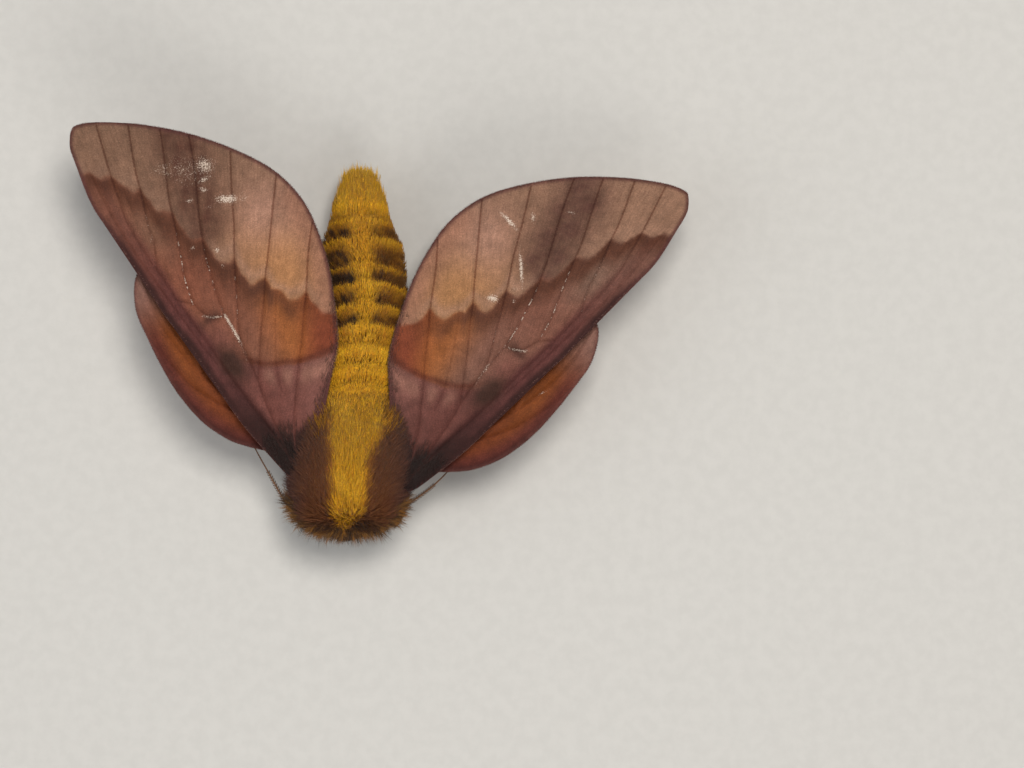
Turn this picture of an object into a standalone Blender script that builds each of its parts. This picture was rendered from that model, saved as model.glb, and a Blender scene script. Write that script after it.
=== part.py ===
"""Ptiloscola lilacina, a small lilac and yellow moth, at rest with its wings half open.

Life size, head towards -Y, abdomen towards +Y, standing on z = 0.
All lengths below are in drawing units, 37.3 of which make one forewing. UNIT turns them into metres.
"""

import math
import random

import bmesh
import bpy
import numpy as np
from mathutils import Vector
from mathutils.geometry import delaunay_2d_cdt

FOREWING_LENGTH = 0.035
UNIT = FOREWING_LENGTH / 37.3

SEED = 41
WING_THICK = 0.57
VEIN_HALF = 0.34
VEIN_HIGH = 0.2
WING_STEP = 1.75
HINDWING_DROP = 1.42
MARGIN_CLEAR = 0.45
BODY_SIDES = 20
LEG_SIDES = 8
FEELER_SIDES = 7

# Forewing in its own plane: s runs along the front edge from the root, w towards the inner margin.
FOREWING = (
    (0.2, -0.15), (1.2, -0.7), (4.0, -0.95), (7.5, -1.1), (11.4, -0.85), (15.4, -0.6),
    (18.8, -0.7), (22.8, -0.3), (27.8, 0.0), (30.1, 0.1), (32.0, 0.5), (34.4, 1.3),
    (36.1, 1.9), (37.1, 2.8), (37.3, 3.6), (36.4, 5.3), (34.0, 8.1), (30.6, 11.1),
    (26.8, 13.5), (23.3, 15.0), (19.8, 15.4), (16.6, 14.8), (13.3, 13.6), (10.0, 11.8),
    (8.7, 11.0), (7.2, 9.9), (5.7, 8.1), (4.2, 6.0), (3.3, 4.6), (2.4, 3.2), (1.4, 1.7),
    (0.35, 0.35),
)
FOREWING_VEINS = (
    ((1.3, 0.1), (3.0, 0.45), (6.0, 0.5), (9.1, 0.5), (11.3, 0.55), (14.1, 0.65), (17.2, 0.8),
     (19.3, 0.9), (21.0, 1.0), (22.7, 1.1), (24.6, 1.2), (27.4, 1.6), (29.5, 2.3), (31.6, 3.05),
     (33.7, 3.9), (36.3, 5.1)),
    ((1.3, 0.1), (3.4, 0.75), (5.8, 1.35), (7.9, 1.9), (9.3, 2.4), (10.9, 2.8), (12.9, 3.2),
     (15.8, 3.6), (18.1, 4.3), (19.5, 4.9), (20.8, 5.4), (23.5, 6.8), (25.8, 8.2), (27.9, 9.5),
     (30.1, 10.7), (31.0, 11.2)),
    ((12.9, 3.2), (14.6, 4.2), (15.8, 5.1), (17.5, 6.2), (19.9, 7.9), (21.8, 9.3), (24.4, 11.0),
     (27.1, 12.9), (28.0, 13.5)),
    ((9.3, 2.4), (10.9, 3.8), (13.1, 5.8), (14.5, 7.1), (16.1, 8.5), (18.1, 10.4), (21.5, 13.5),
     (23.6, 15.4)),
    ((1.7, 0.5), (3.2, 1.5), (4.8, 2.9), (6.4, 4.5), (8.0, 6.1), (9.5, 7.6), (11.3, 9.2),
     (13.0, 10.8), (15.9, 13.2), (18.3, 15.6)),
    ((22.7, 1.1), (24.8, 2.5), (26.2, 3.0), (28.9, 4.3), (31.1, 5.3), (33.1, 6.4), (34.8, 7.4)),
    ((18.3, 1.1), (20.6, 2.75), (22.0, 3.5), (24.5, 4.8), (27.2, 6.1), (29.7, 7.6), (32.1, 9.0),
     (33.0, 9.5)),
    ((15.8, 3.6), (16.3, 2.3), (18.3, 1.1)),
)

# Hindwing, the same way.
HINDWING = (
    (0.9, -0.4), (2.2, -2.0), (4.0, -3.2), (5.7, -3.9), (8.3, -4.3), (11.5, -4.0), (14.5, -3.2),
    (17.0, -2.3), (19.2, -1.4), (20.9, 0.0), (21.7, 1.3), (21.8, 2.8), (21.1, 4.6), (19.5, 7.2),
    (17.4, 9.7), (15.2, 11.5), (13.0, 12.3), (11.3, 11.9), (9.2, 9.6), (6.3, 6.3), (3.6, 3.1),
    (1.8, 0.9),
)
HINDWING_VEINS = (
    ((1.9, -0.4), (4.0, -0.9), (7.5, -1.3), (11.0, -1.4), (14.5, -1.2), (18.0, -0.4),
     (21.8, 1.4)),
    ((7.5, -1.3), (11.0, -2.3), (14.5, -2.5), (17.8, -2.0)),
    ((11.0, -1.4), (14.5, 0.6), (18.0, 2.3), (21.8, 4.3)),
    ((1.9, -0.4), (4.5, 0.7), (7.6, 1.9), (10.4, 2.9), (14.0, 4.5), (17.6, 6.1), (20.0, 7.2)),
    ((10.4, 2.9), (10.9, 0.8), (11.0, -1.4)),
    ((7.6, 1.9), (10.7, 4.6), (14.0, 7.2), (18.3, 10.2)),
    ((4.5, 0.7), (7.4, 4.0), (10.6, 7.5), (15.3, 12.2)),
)

# Each wing's root, azimuth from +Y outwards, rise of its front edge, and drop of its inner side.
WING_POSES = {
    "right": {"side": -1, "root": (-7.48, -12.81, 8.5), "azimuth": 37.0, "rise": 7.5,
              "roll": 14.0, "hind_root": (-7.3, -10.4), "hind_azimuth": 45.4},
    "left": {"side": 1, "root": (1.8, -14.05, 8.65), "azimuth": 48.3, "rise": 0.5,
             "roll": 13.0, "hind_root": (1.85, -11.65), "hind_azimuth": 57.8},
}

# How far the hair's tips stand out from the body sections below.
THORAX_COAT = 0.9
ABDOMEN_COAT = 0.8
# Body sections under the hair: y, centre x, half width, underside z, level of the widest line, top z.
THORAX = (
    (-17.20, -3.32, 2.3, 7.6, 8.15, 8.65),
    (-16.30, -3.25, 3.5, 6.9, 7.9, 9.25),
    (-15.20, -3.14, 4.2, 5.3, 7.3, 9.6),
    (-13.60, -3.00, 4.5, 3.1, 6.6, 9.75),
    (-12.00, -2.88, 4.4, 2.6, 6.3, 9.75),
    (-10.40, -2.70, 4.25, 2.5, 6.1, 9.4),
    (-8.80, -2.52, 3.9, 2.6, 5.9, 8.75),
    (-7.20, -2.36, 3.35, 2.9, 5.6, 7.9),
    (-6.10, -2.26, 2.8, 3.3, 5.3, 7.2),
)
ABDOMEN = (
    (-5.75, -2.22, 2.4, 2.2, 4.5, 6.8),
    (-4.60, -2.12, 2.8, 1.3, 4.3, 6.9),
    (-2.60, -1.95, 2.9, 0.7, 4.1, 6.95),
    (0.60, -1.70, 2.95, 0.3, 4.0, 6.85),
    (4.30, -1.55, 3.05, -0.1, 3.9, 6.75),
    (7.60, -1.90, 2.95, -0.1, 3.8, 6.55),
    (9.60, -2.05, 2.6, 0.15, 3.75, 6.3),
    (11.60, -2.10, 2.25, 0.6, 3.7, 5.85),
    (13.10, -2.10, 1.6, 1.4, 3.65, 5.3),
    (14.40, -2.10, 0.95, 2.3, 3.6, 4.65),
)
# Rows of locks: y of the roots, length along the body, then first and last angle round the
# body (0 to the +X side, 90 on top), count, width and how much the tips stand off.
RUFF_ROWS = (
    (-16.35, -2.35, 20, 160, 9, 1.7, 0.75), (-15.55, -2.75, -8, 188, 11, 1.75, 1.0),
)
THORAX_ROWS = (
    (-16.2, 3.0, 34, 146, 8, 1.8, 0.95), (-14.4, 3.0, 40, 140, 7, 1.8, 1.0),
    (-12.6, 3.0, 43, 137, 7, 1.8, 1.0), (-10.8, 3.0, 45, 135, 6, 1.8, 1.0),
    (-9.0, 2.7, 46, 134, 5, 1.7, 1.0), (-14.2, 2.6, -52, -8, 3, 1.5, 0.9),
    (-14.2, 2.6, 188, 232, 3, 1.5, 0.9), (-11.6, 2.8, -52, -2, 3, 1.5, 0.9),
    (-11.6, 2.8, 182, 232, 3, 1.5, 0.9), (-9.4, 2.6, -40, 0, 3, 1.5, 0.9),
    (-9.4, 2.6, 180, 220, 3, 1.5, 0.9),
)
ABDOMEN_ROWS = (
    (-5.1, 3.0, -30, 210, 11, 1.9, 0.85), (-2.4, 3.4, -35, 215, 11, 2.0, 0.85),
    (0.6, 3.4, -35, 215, 11, 2.0, 0.9), (3.6, 3.4, -35, 215, 11, 2.0, 1.0),
    (6.6, 3.3, -35, 215, 11, 2.0, 1.0), (9.5, 3.2, -38, 218, 11, 1.9, 1.0),
    (12.0, 2.9, -60, 240, 11, 1.7, 1.0), (13.4, 2.2, -80, 240, 8, 1.4, 0.6),
)
LOCK_THICK = 0.62
LOCK_ROOT = 0.75
HEAD_CENTRE = (-3.40, -17.25, 4.75)
# Head sections across: x from the centre, half depth, half height.
HEAD = (
    (-1.4, 0.95, 1.1), (-1.1, 1.22, 1.42), (-0.6, 1.42, 1.66), (0.0, 1.5, 1.75),
    (0.6, 1.42, 1.66), (1.1, 1.22, 1.42), (1.4, 0.95, 1.1),
)
EYE = ((1.72, 0.98), (1.9, 1.02), (2.1, 0.95), (2.3, 0.78), (2.45, 0.5), (2.52, 0.2))
PALP = ((0.62, -18.95, 3.7, 0.34), (0.72, -19.0, 3.2, 0.4), (0.78, -18.95, 2.6, 0.36),
        (0.8, -18.75, 2.1, 0.24))
FEELERS = {
    "right": ((-5.15, -17.35, 6.5), (-6.3, -17.15, 6.3), (-7.4, -16.65, 6.1),
              (-8.5, -15.6, 5.9), (-9.45, -14.1, 5.85), (-10.4, -12.4, 5.85),
              (-11.35, -10.7, 5.9), (-12.1, -9.3, 5.95)),
    "left": ((-1.65, -17.35, 6.5), (-0.55, -17.1, 6.3), (0.6, -16.5, 6.1), (1.7, -15.65, 5.9),
             (3.2, -14.65, 5.85), (4.7, -13.5, 5.85), (6.0, -12.2, 5.9), (7.1, -10.8, 5.95)),
}
FEELER_THICK = (0.36, 0.27)

# Legs: points from the hip to the foot as distance out from the middle line, y and z, then radius.
LEGS = {
    "front": ((2.3, -14.4, 2.45, 0.5), (3.3, -15.1, 2.7, 0.52), (4.3, -15.7, 2.2, 0.44),
              (4.75, -16.0, 1.1, 0.36), (4.9, -16.3, 0.36, 0.3), (4.6, -16.9, 0.25, 0.29),
              (4.3, -17.5, 0.25, 0.28)),
    "middle": ((4.6, -11.2, 2.35, 0.5), (5.6, -10.7, 2.75, 0.52), (6.5, -10.0, 2.3, 0.44),
               (7.1, -9.4, 1.1, 0.36), (7.4, -9.0, 0.36, 0.3), (7.9, -8.6, 0.25, 0.29),
               (8.6, -8.2, 0.25, 0.28)),
    "hind": ((3.9, -7.9, 2.3, 0.5), (4.9, -6.6, 2.8, 0.54), (5.6, -4.6, 2.6, 0.46),
             (6.0, -2.4, 1.3, 0.38), (6.1, -1.2, 0.38, 0.31), (6.2, 0.0, 0.25, 0.29),
             (6.4, 1.0, 0.25, 0.28)),
}
FOOT_LEVEL = 0.0


def clear_scene():
    for obj in list(bpy.data.objects):
        bpy.data.objects.remove(obj, do_unlink=True)


def material(name, colour, roughness=0.85):
    made = bpy.data.materials.new(name)
    made.use_nodes = True
    shader = made.node_tree.nodes["Principled BSDF"]
    shader.inputs["Base Color"].default_value = (*colour, 1.0)
    shader.inputs["Roughness"].default_value = roughness
    return made


def add_mesh(name, points, faces, colour, roughness=0.85):
    """One object from points in drawing units. Its faces are turned outwards and its sides shaded smooth."""
    mesh = bpy.data.meshes.new(name)
    mesh.from_pydata([tuple(float(a) * UNIT for a in p) for p in points], [], faces)
    work = bmesh.new()
    work.from_mesh(mesh)
    bmesh.ops.recalc_face_normals(work, faces=work.faces)
    for face in work.faces:
        face.smooth = True
    work.to_mesh(mesh)
    work.free()
    obj = bpy.data.objects.new(name, mesh)
    bpy.context.scene.collection.objects.link(obj)
    mesh.materials.append(material(name + "_mat", colour, roughness))
    return obj


def smooth_line(points, per=6, closed=False):
    """Catmull-Rom curve through the points."""
    p = np.array(points, float)
    count = len(p)
    if not closed:
        p = np.vstack([2 * p[0] - p[1], p, 2 * p[-1] - p[-2]])
    out = []
    for i in range(count if closed else count - 1):
        if closed:
            a, b, c, d = (p[(i + k - 1) % count] for k in range(4))
        else:
            a, b, c, d = p[i], p[i + 1], p[i + 2], p[i + 3]
        for t in np.arange(per) / per:
            out.append(0.5 * (2 * b + (c - a) * t + (2 * a - 5 * b + 4 * c - d) * t ** 2
                              + (3 * b - a - 3 * c + d) * t ** 3))
    if not closed:
        out.append(p[-2])
    return np.array(out)


def resample(line, step, closed=False):
    """Points evenly spaced along a line, about step apart."""
    if closed:
        line = np.vstack([line, line[:1]])
    run = np.concatenate([[0], np.cumsum(np.linalg.norm(np.diff(line, axis=0), axis=1))])
    count = max(2, round(run[-1] / step) + 1)
    at = np.linspace(0, run[-1], count)
    out = np.column_stack([np.interp(at, run, line[:, k]) for k in range(line.shape[1])])
    return out[:-1] if closed else out


def distance_to(points, starts, ends):
    """Distance of each point from the nearest of the segments."""
    along = ends - starts
    size = np.maximum((along ** 2).sum(axis=1), 1e-12)
    reach = points[:, None, :] - starts[None]
    t = np.clip((reach * along[None]).sum(axis=2) / size, 0, 1)
    return np.linalg.norm(reach - t[:, :, None] * along[None], axis=2).min(axis=1)


def inside(points, loop):
    """Whether each point lies inside the closed loop."""
    found = np.zeros(len(points), bool)
    for a, b in zip(loop, np.roll(loop, -1, axis=0)):
        crosses = (a[1] > points[:, 1]) != (b[1] > points[:, 1])
        with np.errstate(divide="ignore", invalid="ignore"):
            x = (b[0] - a[0]) * (points[:, 1] - a[1]) / (b[1] - a[1]) + a[0]
        found ^= crosses & (points[:, 0] < x)
    return found


def wing_net(outline, veins, step):
    """Triangles of a flat wing with each vein's crest and feet among the edges, and the ridge at each point."""
    margin = resample(smooth_line(outline, closed=True), step * 0.8, closed=True)
    rim_a, rim_b = margin, np.roll(margin, -1, axis=0)
    points = [tuple(p) for p in margin]
    edges = [(i, (i + 1) % len(margin)) for i in range(len(margin))]
    crests = []
    for vein in veins:
        line = resample(smooth_line(vein), step)
        keep = inside(line, margin) & (distance_to(line, rim_a, rim_b) > MARGIN_CLEAR)
        crests.append(line[keep])
    crest_a = np.vstack([c[:-1] for c in crests])
    crest_b = np.vstack([c[1:] for c in crests])
    first_crest = len(points)
    for crest in crests:
        row = []
        for p in crest:
            near = [i for i in range(first_crest, len(points))
                    if math.dist(points[i], p) < 0.45 * step]
            if near:
                row.append(min(near, key=lambda i: math.dist(points[i], p)))
            else:
                points.append(tuple(p))
                row.append(len(points) - 1)
        edges += [(a, b) for a, b in zip(row, row[1:]) if a != b]
    for crest in crests:
        tangent = np.gradient(crest, axis=0)
        tangent /= np.linalg.norm(tangent, axis=1)[:, None]
        across = np.column_stack([-tangent[:, 1], tangent[:, 0]])
        for side in (-1, 1):
            feet = crest + side * across * VEIN_HALF
            fit = inside(feet, margin) & (distance_to(feet, rim_a, rim_b) > 0.3)
            fit &= distance_to(feet, crest_a, crest_b) > 0.8 * VEIN_HALF
            for p in feet[fit]:
                if min(math.dist(q, p) for q in points) > 0.25:
                    points.append(tuple(p))
    low, high = margin.min(axis=0), margin.max(axis=0)
    for row, w in enumerate(np.arange(low[1], high[1], step * 0.9)):
        for s in np.arange(low[0] + (row % 2) * step / 2, high[0], step):
            p = np.array([[s, w]])
            if not inside(p, margin)[0] or distance_to(p, rim_a, rim_b)[0] < 0.6 * step:
                continue
            if min(math.dist(q, (s, w)) for q in points) > 0.62 * step:
                points.append((s, w))
    flat = [Vector(p) for p in points]
    made = delaunay_2d_cdt(flat, edges, [list(range(len(margin)))], 1, 1e-4, False)
    net = np.array([tuple(v) for v in made[0]])
    faces = [tuple(f) for f in made[2]]
    ridge = np.clip(1 - distance_to(net, crest_a, crest_b) / VEIN_HALF, 0, 1)
    ridge[ridge < 0.35] = 0
    ridge *= np.clip(distance_to(net, rim_a, rim_b) / 1.2, 0, 1) * VEIN_HIGH
    return net, faces, ridge


def wing_frame(pose):
    """The wing plane's two directions and its normal."""
    azimuth, rise, roll = (math.radians(pose[k]) for k in ("azimuth", "rise", "roll"))
    side = pose["side"]
    ahead = np.array([math.sin(azimuth) * side, math.cos(azimuth), 0.0])
    along = ahead * math.cos(rise) + np.array([0.0, 0.0, math.sin(rise)])
    inward = np.array([-math.cos(azimuth) * side, math.sin(azimuth), 0.0])
    up = np.cross(along, inward)
    up *= np.sign(up[2]) / np.linalg.norm(up)
    span = inward * math.cos(roll) - up * math.sin(roll)
    up = np.cross(along, span)
    up *= np.sign(up[2])
    return along, span, up


def camber(s, w):
    """How far the forewing stands off its plane: turned up along the inner margin, down at the tip."""
    inner = np.clip((w - 3.0) / 12.0, 0, None)
    tip = np.clip((s - 22.0) / 15.0, 0, None)
    return 1.75 * inner ** 2 - 0.9 * tip ** 2


def forewing_points(pose, s, w, off):
    along, span, up = wing_frame(pose)
    rise = camber(s, w) + off
    return (np.array(pose["root"]) + s[:, None] * along + w[:, None] * span
            + rise[:, None] * up)


def hindwing_points(pose, s, w, off):
    """The hindwing hangs a fixed drop below the forewing's surface, and sinks beside the abdomen."""
    side, azimuth = pose["side"], math.radians(pose["hind_azimuth"])
    ahead = np.array([math.sin(azimuth) * side, math.cos(azimuth)])
    inward = np.array([-math.cos(azimuth) * side, math.sin(azimuth)])
    flat = np.array(pose["hind_root"]) + s[:, None] * ahead + w[:, None] * inward
    along, span, up = wing_frame(pose)
    basis = np.column_stack([along[:2], span[:2]])
    found = np.linalg.solve(basis, (flat - np.array(pose["root"][:2])).T)
    over = forewing_points(pose, found[0], np.clip(found[1], -6.0, 30.0), np.zeros(len(s)))
    sink = np.clip((w - 3.0) / 10.0, 0, 1) ** 2 * np.clip((16.0 - s) / 10.0, 0, 1)
    high = over[:, 2] - HINDWING_DROP - 1.6 * sink + off
    return np.column_stack([flat, high])


def add_wing(name, outline, veins, place, pose, colour):
    net, faces, ridge = wing_net(outline, veins, WING_STEP)
    top = place(pose, net[:, 0], net[:, 1], WING_THICK / 2 + ridge)
    low = place(pose, net[:, 0], net[:, 1], -WING_THICK / 2 - 0.6 * ridge)
    count = len(net)
    used = {}
    for face in faces:
        for a, b in zip(face, face[1:] + face[:1]):
            used[(a, b)] = True
    solid = list(faces) + [tuple(i + count for i in face[::-1]) for face in faces]
    for a, b in used:
        if (b, a) not in used:
            solid.append((b, a, a + count))
            solid.append((b, a + count, b + count))
    return add_mesh(name, np.vstack([top, low]), solid, colour, 0.7)


def loft(rings):
    """Closed skin over rings of the same number of points, with flat ends."""
    sides = len(rings[0])
    points = [p for ring in rings for p in ring]
    faces = []
    for r in range(len(rings) - 1):
        for i in range(sides):
            a, b = r * sides + i, r * sides + (i + 1) % sides
            faces.append((a, b, b + sides, a + sides))
    faces.append(tuple(range(sides))[::-1])
    faces.append(tuple(len(points) - sides + i for i in range(sides)))
    return points, faces


def section_point(section, angle, out=0.0, square=0.8):
    """Point on a body section, its corners a little squared, moved outwards by out."""
    y, x, half, low, middle, high = section
    c, s = math.cos(angle), math.sin(angle)
    flat = math.copysign(abs(c) ** square, c) * (half + out)
    tall = (high - middle) if s > 0 else (middle - low)
    return (x + flat, y, middle + math.copysign(abs(s) ** square, s) * (tall + out))


def body_ring(section, sides, floor=None):
    ring = []
    for i in range(sides):
        x, y, z = section_point(section, math.tau * (i + 0.5) / sides)
        ring.append((x, y, z if floor is None else max(z, floor)))
    return ring


def section_at(sections, y):
    """The section at y, from those on either side of it. Beyond an end it shrinks towards a point."""
    ys = [r[0] for r in sections]
    row = [y] + [float(np.interp(y, ys, [r[k] for r in sections])) for k in range(1, 6)]
    beyond = max(ys[0] - y, y - ys[-1], 0.0)
    keep = max(0.15, 1 - 0.28 * beyond)
    row[2] *= keep
    row[3] = row[4] - (row[4] - row[3]) * keep
    row[5] = row[4] + (row[5] - row[4]) * keep
    return row


def tube(points, radii, sides, floor=None):
    """Rings round a bent line, kept above the floor where one is given."""
    p = [Vector(q) for q in points]
    rings = []
    side = None
    for i, at in enumerate(p):
        ahead = (p[min(i + 1, len(p) - 1)] - p[max(i - 1, 0)]).normalized()
        if side is None:
            side = ahead.cross(Vector((0, 0, 1))).normalized()
        side = (side - ahead * side.dot(ahead)).normalized()
        up = side.cross(ahead)
        ring = []
        for k in range(sides):
            angle = math.tau * k / sides
            q = at + (side * math.cos(angle) + up * math.sin(angle)) * radii[i]
            if floor is not None:
                q.z = max(q.z, floor)
            ring.append(tuple(q))
        rings.append(ring)
    return loft(rings)


def add_head():
    x, y, z = HEAD_CENTRE
    rings = []
    for across, deep, tall in HEAD:
        ring = []
        for i in range(16):
            angle = math.tau * i / 16
            ring.append((x + across, y + deep * math.cos(angle), z + tall * math.sin(angle)))
        rings.append(ring)
    add_mesh("head", *loft(rings), (0.30, 0.15, 0.06))


def add_eye(name, side):
    x, y, z = HEAD_CENTRE
    rings = []
    for across, radius in EYE:
        ring = []
        for i in range(14):
            angle = math.tau * i / 14
            ring.append((x + side * across, y - 0.1 + radius * math.cos(angle),
                         z - 0.1 + radius * math.sin(angle)))
        rings.append(ring)
    add_mesh(name, *loft(rings), (0.02, 0.012, 0.01), 0.3)


def add_palp(name, side):
    points = [(HEAD_CENTRE[0] + side * x, y, z) for x, y, z, _ in PALP]
    add_mesh(name, *tube(points, [p[3] for p in PALP], 8), (0.42, 0.2, 0.16))


def add_feeler(name, line):
    """A toothed shaft: every second ring is wider, as the short comb teeth make it."""
    path = resample(smooth_line(line), 0.28)
    count = len(path)
    radii = []
    for i in range(count):
        part = i / (count - 1)
        radius = FEELER_THICK[0] + (FEELER_THICK[1] - FEELER_THICK[0]) * part
        tooth = 0.12 * (1 - part) if i % 2 else 0.0
        radii.append(radius + tooth)
    add_mesh(name, *tube([tuple(q) for q in path], radii, FEELER_SIDES), (0.34, 0.17, 0.08))


def add_leg(name, joints, side):
    path = smooth_line([(j[0], j[1], j[2], j[3]) for j in joints], per=2)
    points = [(middle_line(y) + side * x, y, z) for x, y, z, _ in path]
    radii = [p[3] for p in path]
    add_mesh(name, *tube(points, radii, LEG_SIDES, FOOT_LEVEL), (0.40, 0.17, 0.15))


def middle_line(y):
    """x of the body's middle line, which bends a little."""
    rows = [(r[0], r[1]) for r in THORAX + ABDOMEN]
    return float(np.interp(y, [r[0] for r in rows], [r[1] for r in rows]))


def lock_mesh(line, width, thick, flat):
    """A flat lock that tapers and bends: a diamond section at each point of the line, then its tip."""
    p = [Vector(q) for q in line]
    shares = ((1.0, 1.0), (0.95, 1.0), (0.6, 0.85))
    points = []
    for i, (wide, deep) in enumerate(shares):
        ahead = (p[i + 1] - p[max(i - 1, 0)]).normalized()
        up = (Vector(flat) - ahead * Vector(flat).dot(ahead)).normalized()
        side = up.cross(ahead)
        for a, b in ((1, 0), (0, 1), (-1, 0), (0, -1)):
            points.append(tuple(p[i] + side * (a * wide * width / 2) + up * (b * deep * thick / 2)))
    faces = [(3, 2, 1, 0)]
    for r in range(2):
        for i in range(4):
            a, b = r * 4 + i, r * 4 + (i + 1) % 4
            faces.append((a, b, b + 4, a + 4))
    points.append(tuple(p[3]))
    faces += [(8 + i, 8 + (i + 1) % 4, 12) for i in range(4)]
    return points, faces


def lock_rows(sections, rows, coat, rng):
    """Locks over a body: each root is sunk in the core, and each tip lies at the coat's outline."""
    found = []
    for y, reach, first, last, count, width, stand in rows:
        for i in range(count):
            angle = math.radians(first + (last - first) * (i + 0.5) / count
                                 + rng.uniform(-4, 4))
            length = reach * rng.uniform(0.88, 1.08)
            start = y + rng.uniform(-0.2, 0.2)
            sway = rng.uniform(-0.07, 0.07)
            line = []
            for part, out in ((0.0, -LOCK_ROOT), (0.3, 0.1), (0.7, 0.7), (1.0, 1.0)):
                at = section_at(sections, start + length * part)
                line.append(section_point(at, angle + sway * part,
                                          out * coat * stand if out > 0 else out))
            middle = section_point(section_at(sections, start), angle, -1.5)
            flat = Vector(line[1]) - Vector(middle)
            found.append(lock_mesh(line, width * rng.uniform(0.9, 1.1), LOCK_THICK, flat))
    return found


def fuse(body, locks):
    """Joins the locks to the body with one union, and keeps the outer surface only."""
    group = bpy.data.collections.new(body.name + "_locks")
    bpy.context.scene.collection.children.link(group)
    for i, (points, faces) in enumerate(locks):
        lock = add_mesh(f"{body.name}_lock_{i}", points, faces, (0.5, 0.3, 0.1))
        bpy.context.scene.collection.objects.unlink(lock)
        group.objects.link(lock)
    union = body.modifiers.new("locks", "BOOLEAN")
    union.operation = "UNION"
    union.operand_type = "COLLECTION"
    union.collection = group
    union.solver = "EXACT"
    bpy.context.view_layer.update()
    with bpy.context.temp_override(object=body, active_object=body):
        bpy.ops.object.modifier_apply(modifier=union.name)
    for lock in list(group.objects):
        bpy.data.objects.remove(lock, do_unlink=True)
    bpy.data.collections.remove(group)
    keep_largest(body)


def keep_largest(body):
    work = bmesh.new()
    work.from_mesh(body.data)
    left = set(work.faces)
    parts = []
    while left:
        todo = [left.pop()]
        part = list(todo)
        while todo:
            for edge in todo.pop().edges:
                for other in edge.link_faces:
                    if other in left:
                        left.remove(other)
                        todo.append(other)
                        part.append(other)
        parts.append(part)
    parts.sort(key=len)
    for part in parts[:-1]:
        bmesh.ops.delete(work, geom=part, context="FACES")
    bmesh.ops.delete(work, geom=[v for v in work.verts if not v.link_faces], context="VERTS")
    bmesh.ops.triangulate(work, faces=work.faces)
    for face in work.faces:
        face.smooth = True
    work.to_mesh(body.data)
    work.free()


def add_thorax():
    rng = random.Random(SEED)
    rows = smooth_line(THORAX, per=2)
    body = add_mesh("thorax", *loft([body_ring(r, BODY_SIDES) for r in rows]), (0.50, 0.27, 0.05))
    fuse(body, lock_rows(THORAX, RUFF_ROWS + THORAX_ROWS, THORAX_COAT, rng))


def add_abdomen():
    rng = random.Random(SEED + 1)
    rows = smooth_line(ABDOMEN, per=2)
    rings = [body_ring(r, BODY_SIDES, FOOT_LEVEL) for r in rows]
    body = add_mesh("abdomen", *loft(rings), (0.72, 0.40, 0.03))
    fuse(body, lock_rows(ABDOMEN, ABDOMEN_ROWS, ABDOMEN_COAT, rng))


def main():
    clear_scene()
    add_thorax()
    add_abdomen()
    add_head()
    for side_name, pose in WING_POSES.items():
        side = pose["side"]
        add_eye("eye_" + side_name, side)
        add_palp("palp_" + side_name, side)
        add_feeler("antenna_" + side_name, FEELERS[side_name])
        add_wing("forewing_" + side_name, FOREWING, FOREWING_VEINS, forewing_points, pose,
                 (0.52, 0.30, 0.28))
        add_wing("hindwing_" + side_name, HINDWING, HINDWING_VEINS, hindwing_points, pose,
                 (0.62, 0.27, 0.16))
        for leg, joints in LEGS.items():
            add_leg(f"leg_{leg}_{side_name}", joints, side)


main()
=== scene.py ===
"""Looks of the lilac and yellow moth at rest: wings, hair, eyes, feelers, legs, floor, light."""
import math

import bpy
import numpy as np
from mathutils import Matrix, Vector
from mathutils.geometry import delaunay_2d_cdt


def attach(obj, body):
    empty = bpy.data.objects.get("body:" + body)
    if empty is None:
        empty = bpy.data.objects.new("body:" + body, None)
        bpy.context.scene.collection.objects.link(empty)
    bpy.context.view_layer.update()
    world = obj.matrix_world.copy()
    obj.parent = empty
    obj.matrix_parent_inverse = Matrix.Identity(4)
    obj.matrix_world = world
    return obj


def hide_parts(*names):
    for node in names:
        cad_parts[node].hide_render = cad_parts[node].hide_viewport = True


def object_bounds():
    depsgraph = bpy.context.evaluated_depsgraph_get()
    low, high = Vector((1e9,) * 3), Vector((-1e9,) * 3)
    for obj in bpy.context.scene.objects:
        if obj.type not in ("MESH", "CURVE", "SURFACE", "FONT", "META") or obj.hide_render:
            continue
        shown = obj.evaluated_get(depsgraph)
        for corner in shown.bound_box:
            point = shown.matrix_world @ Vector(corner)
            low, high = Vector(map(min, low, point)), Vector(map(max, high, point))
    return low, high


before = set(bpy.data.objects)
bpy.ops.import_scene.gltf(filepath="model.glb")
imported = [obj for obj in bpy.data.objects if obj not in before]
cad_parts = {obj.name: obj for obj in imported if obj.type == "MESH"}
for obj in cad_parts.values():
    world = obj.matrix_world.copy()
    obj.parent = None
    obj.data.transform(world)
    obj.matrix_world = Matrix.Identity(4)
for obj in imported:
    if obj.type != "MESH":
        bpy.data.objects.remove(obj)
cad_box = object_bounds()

# One drawing unit in metres: 37.3 of them make one forewing of 35 mm.
UNIT = 0.035 / 37.3
BOX_LOW, BOX_HIGH = (np.array(corner) / UNIT for corner in cad_box)
PIECES = []
# How many tufts each coat starts with; of the body's, COAT_SHARE stay where it is widest.
TUFTS = {"body": 150000, "nape": 5200, "tail": 4000, "tail_end": 600, "head": 3600,
         "wing_base": 5200, "leg": 1300, "palp": 420, "side": 420, "shoulder": 4200}
COAT_SHARE = 0.66
TUFTS_PER_PIECE = 12000
# The least that each channel of a hair's colour can be.
DARKEST = 0.004
# Gaps that tips of hair keep from the box's faces and from the floor.
BOX_GAP = 0.04
FLOOR_GAP = 0.06
# The camera's height, the width of its view at the floor, and the point it looks at.
VIEW_HIGH = 350.0
VIEW_WIDE = 94.99
VIEW_MIDDLE = (11.8, -4.3)

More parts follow.
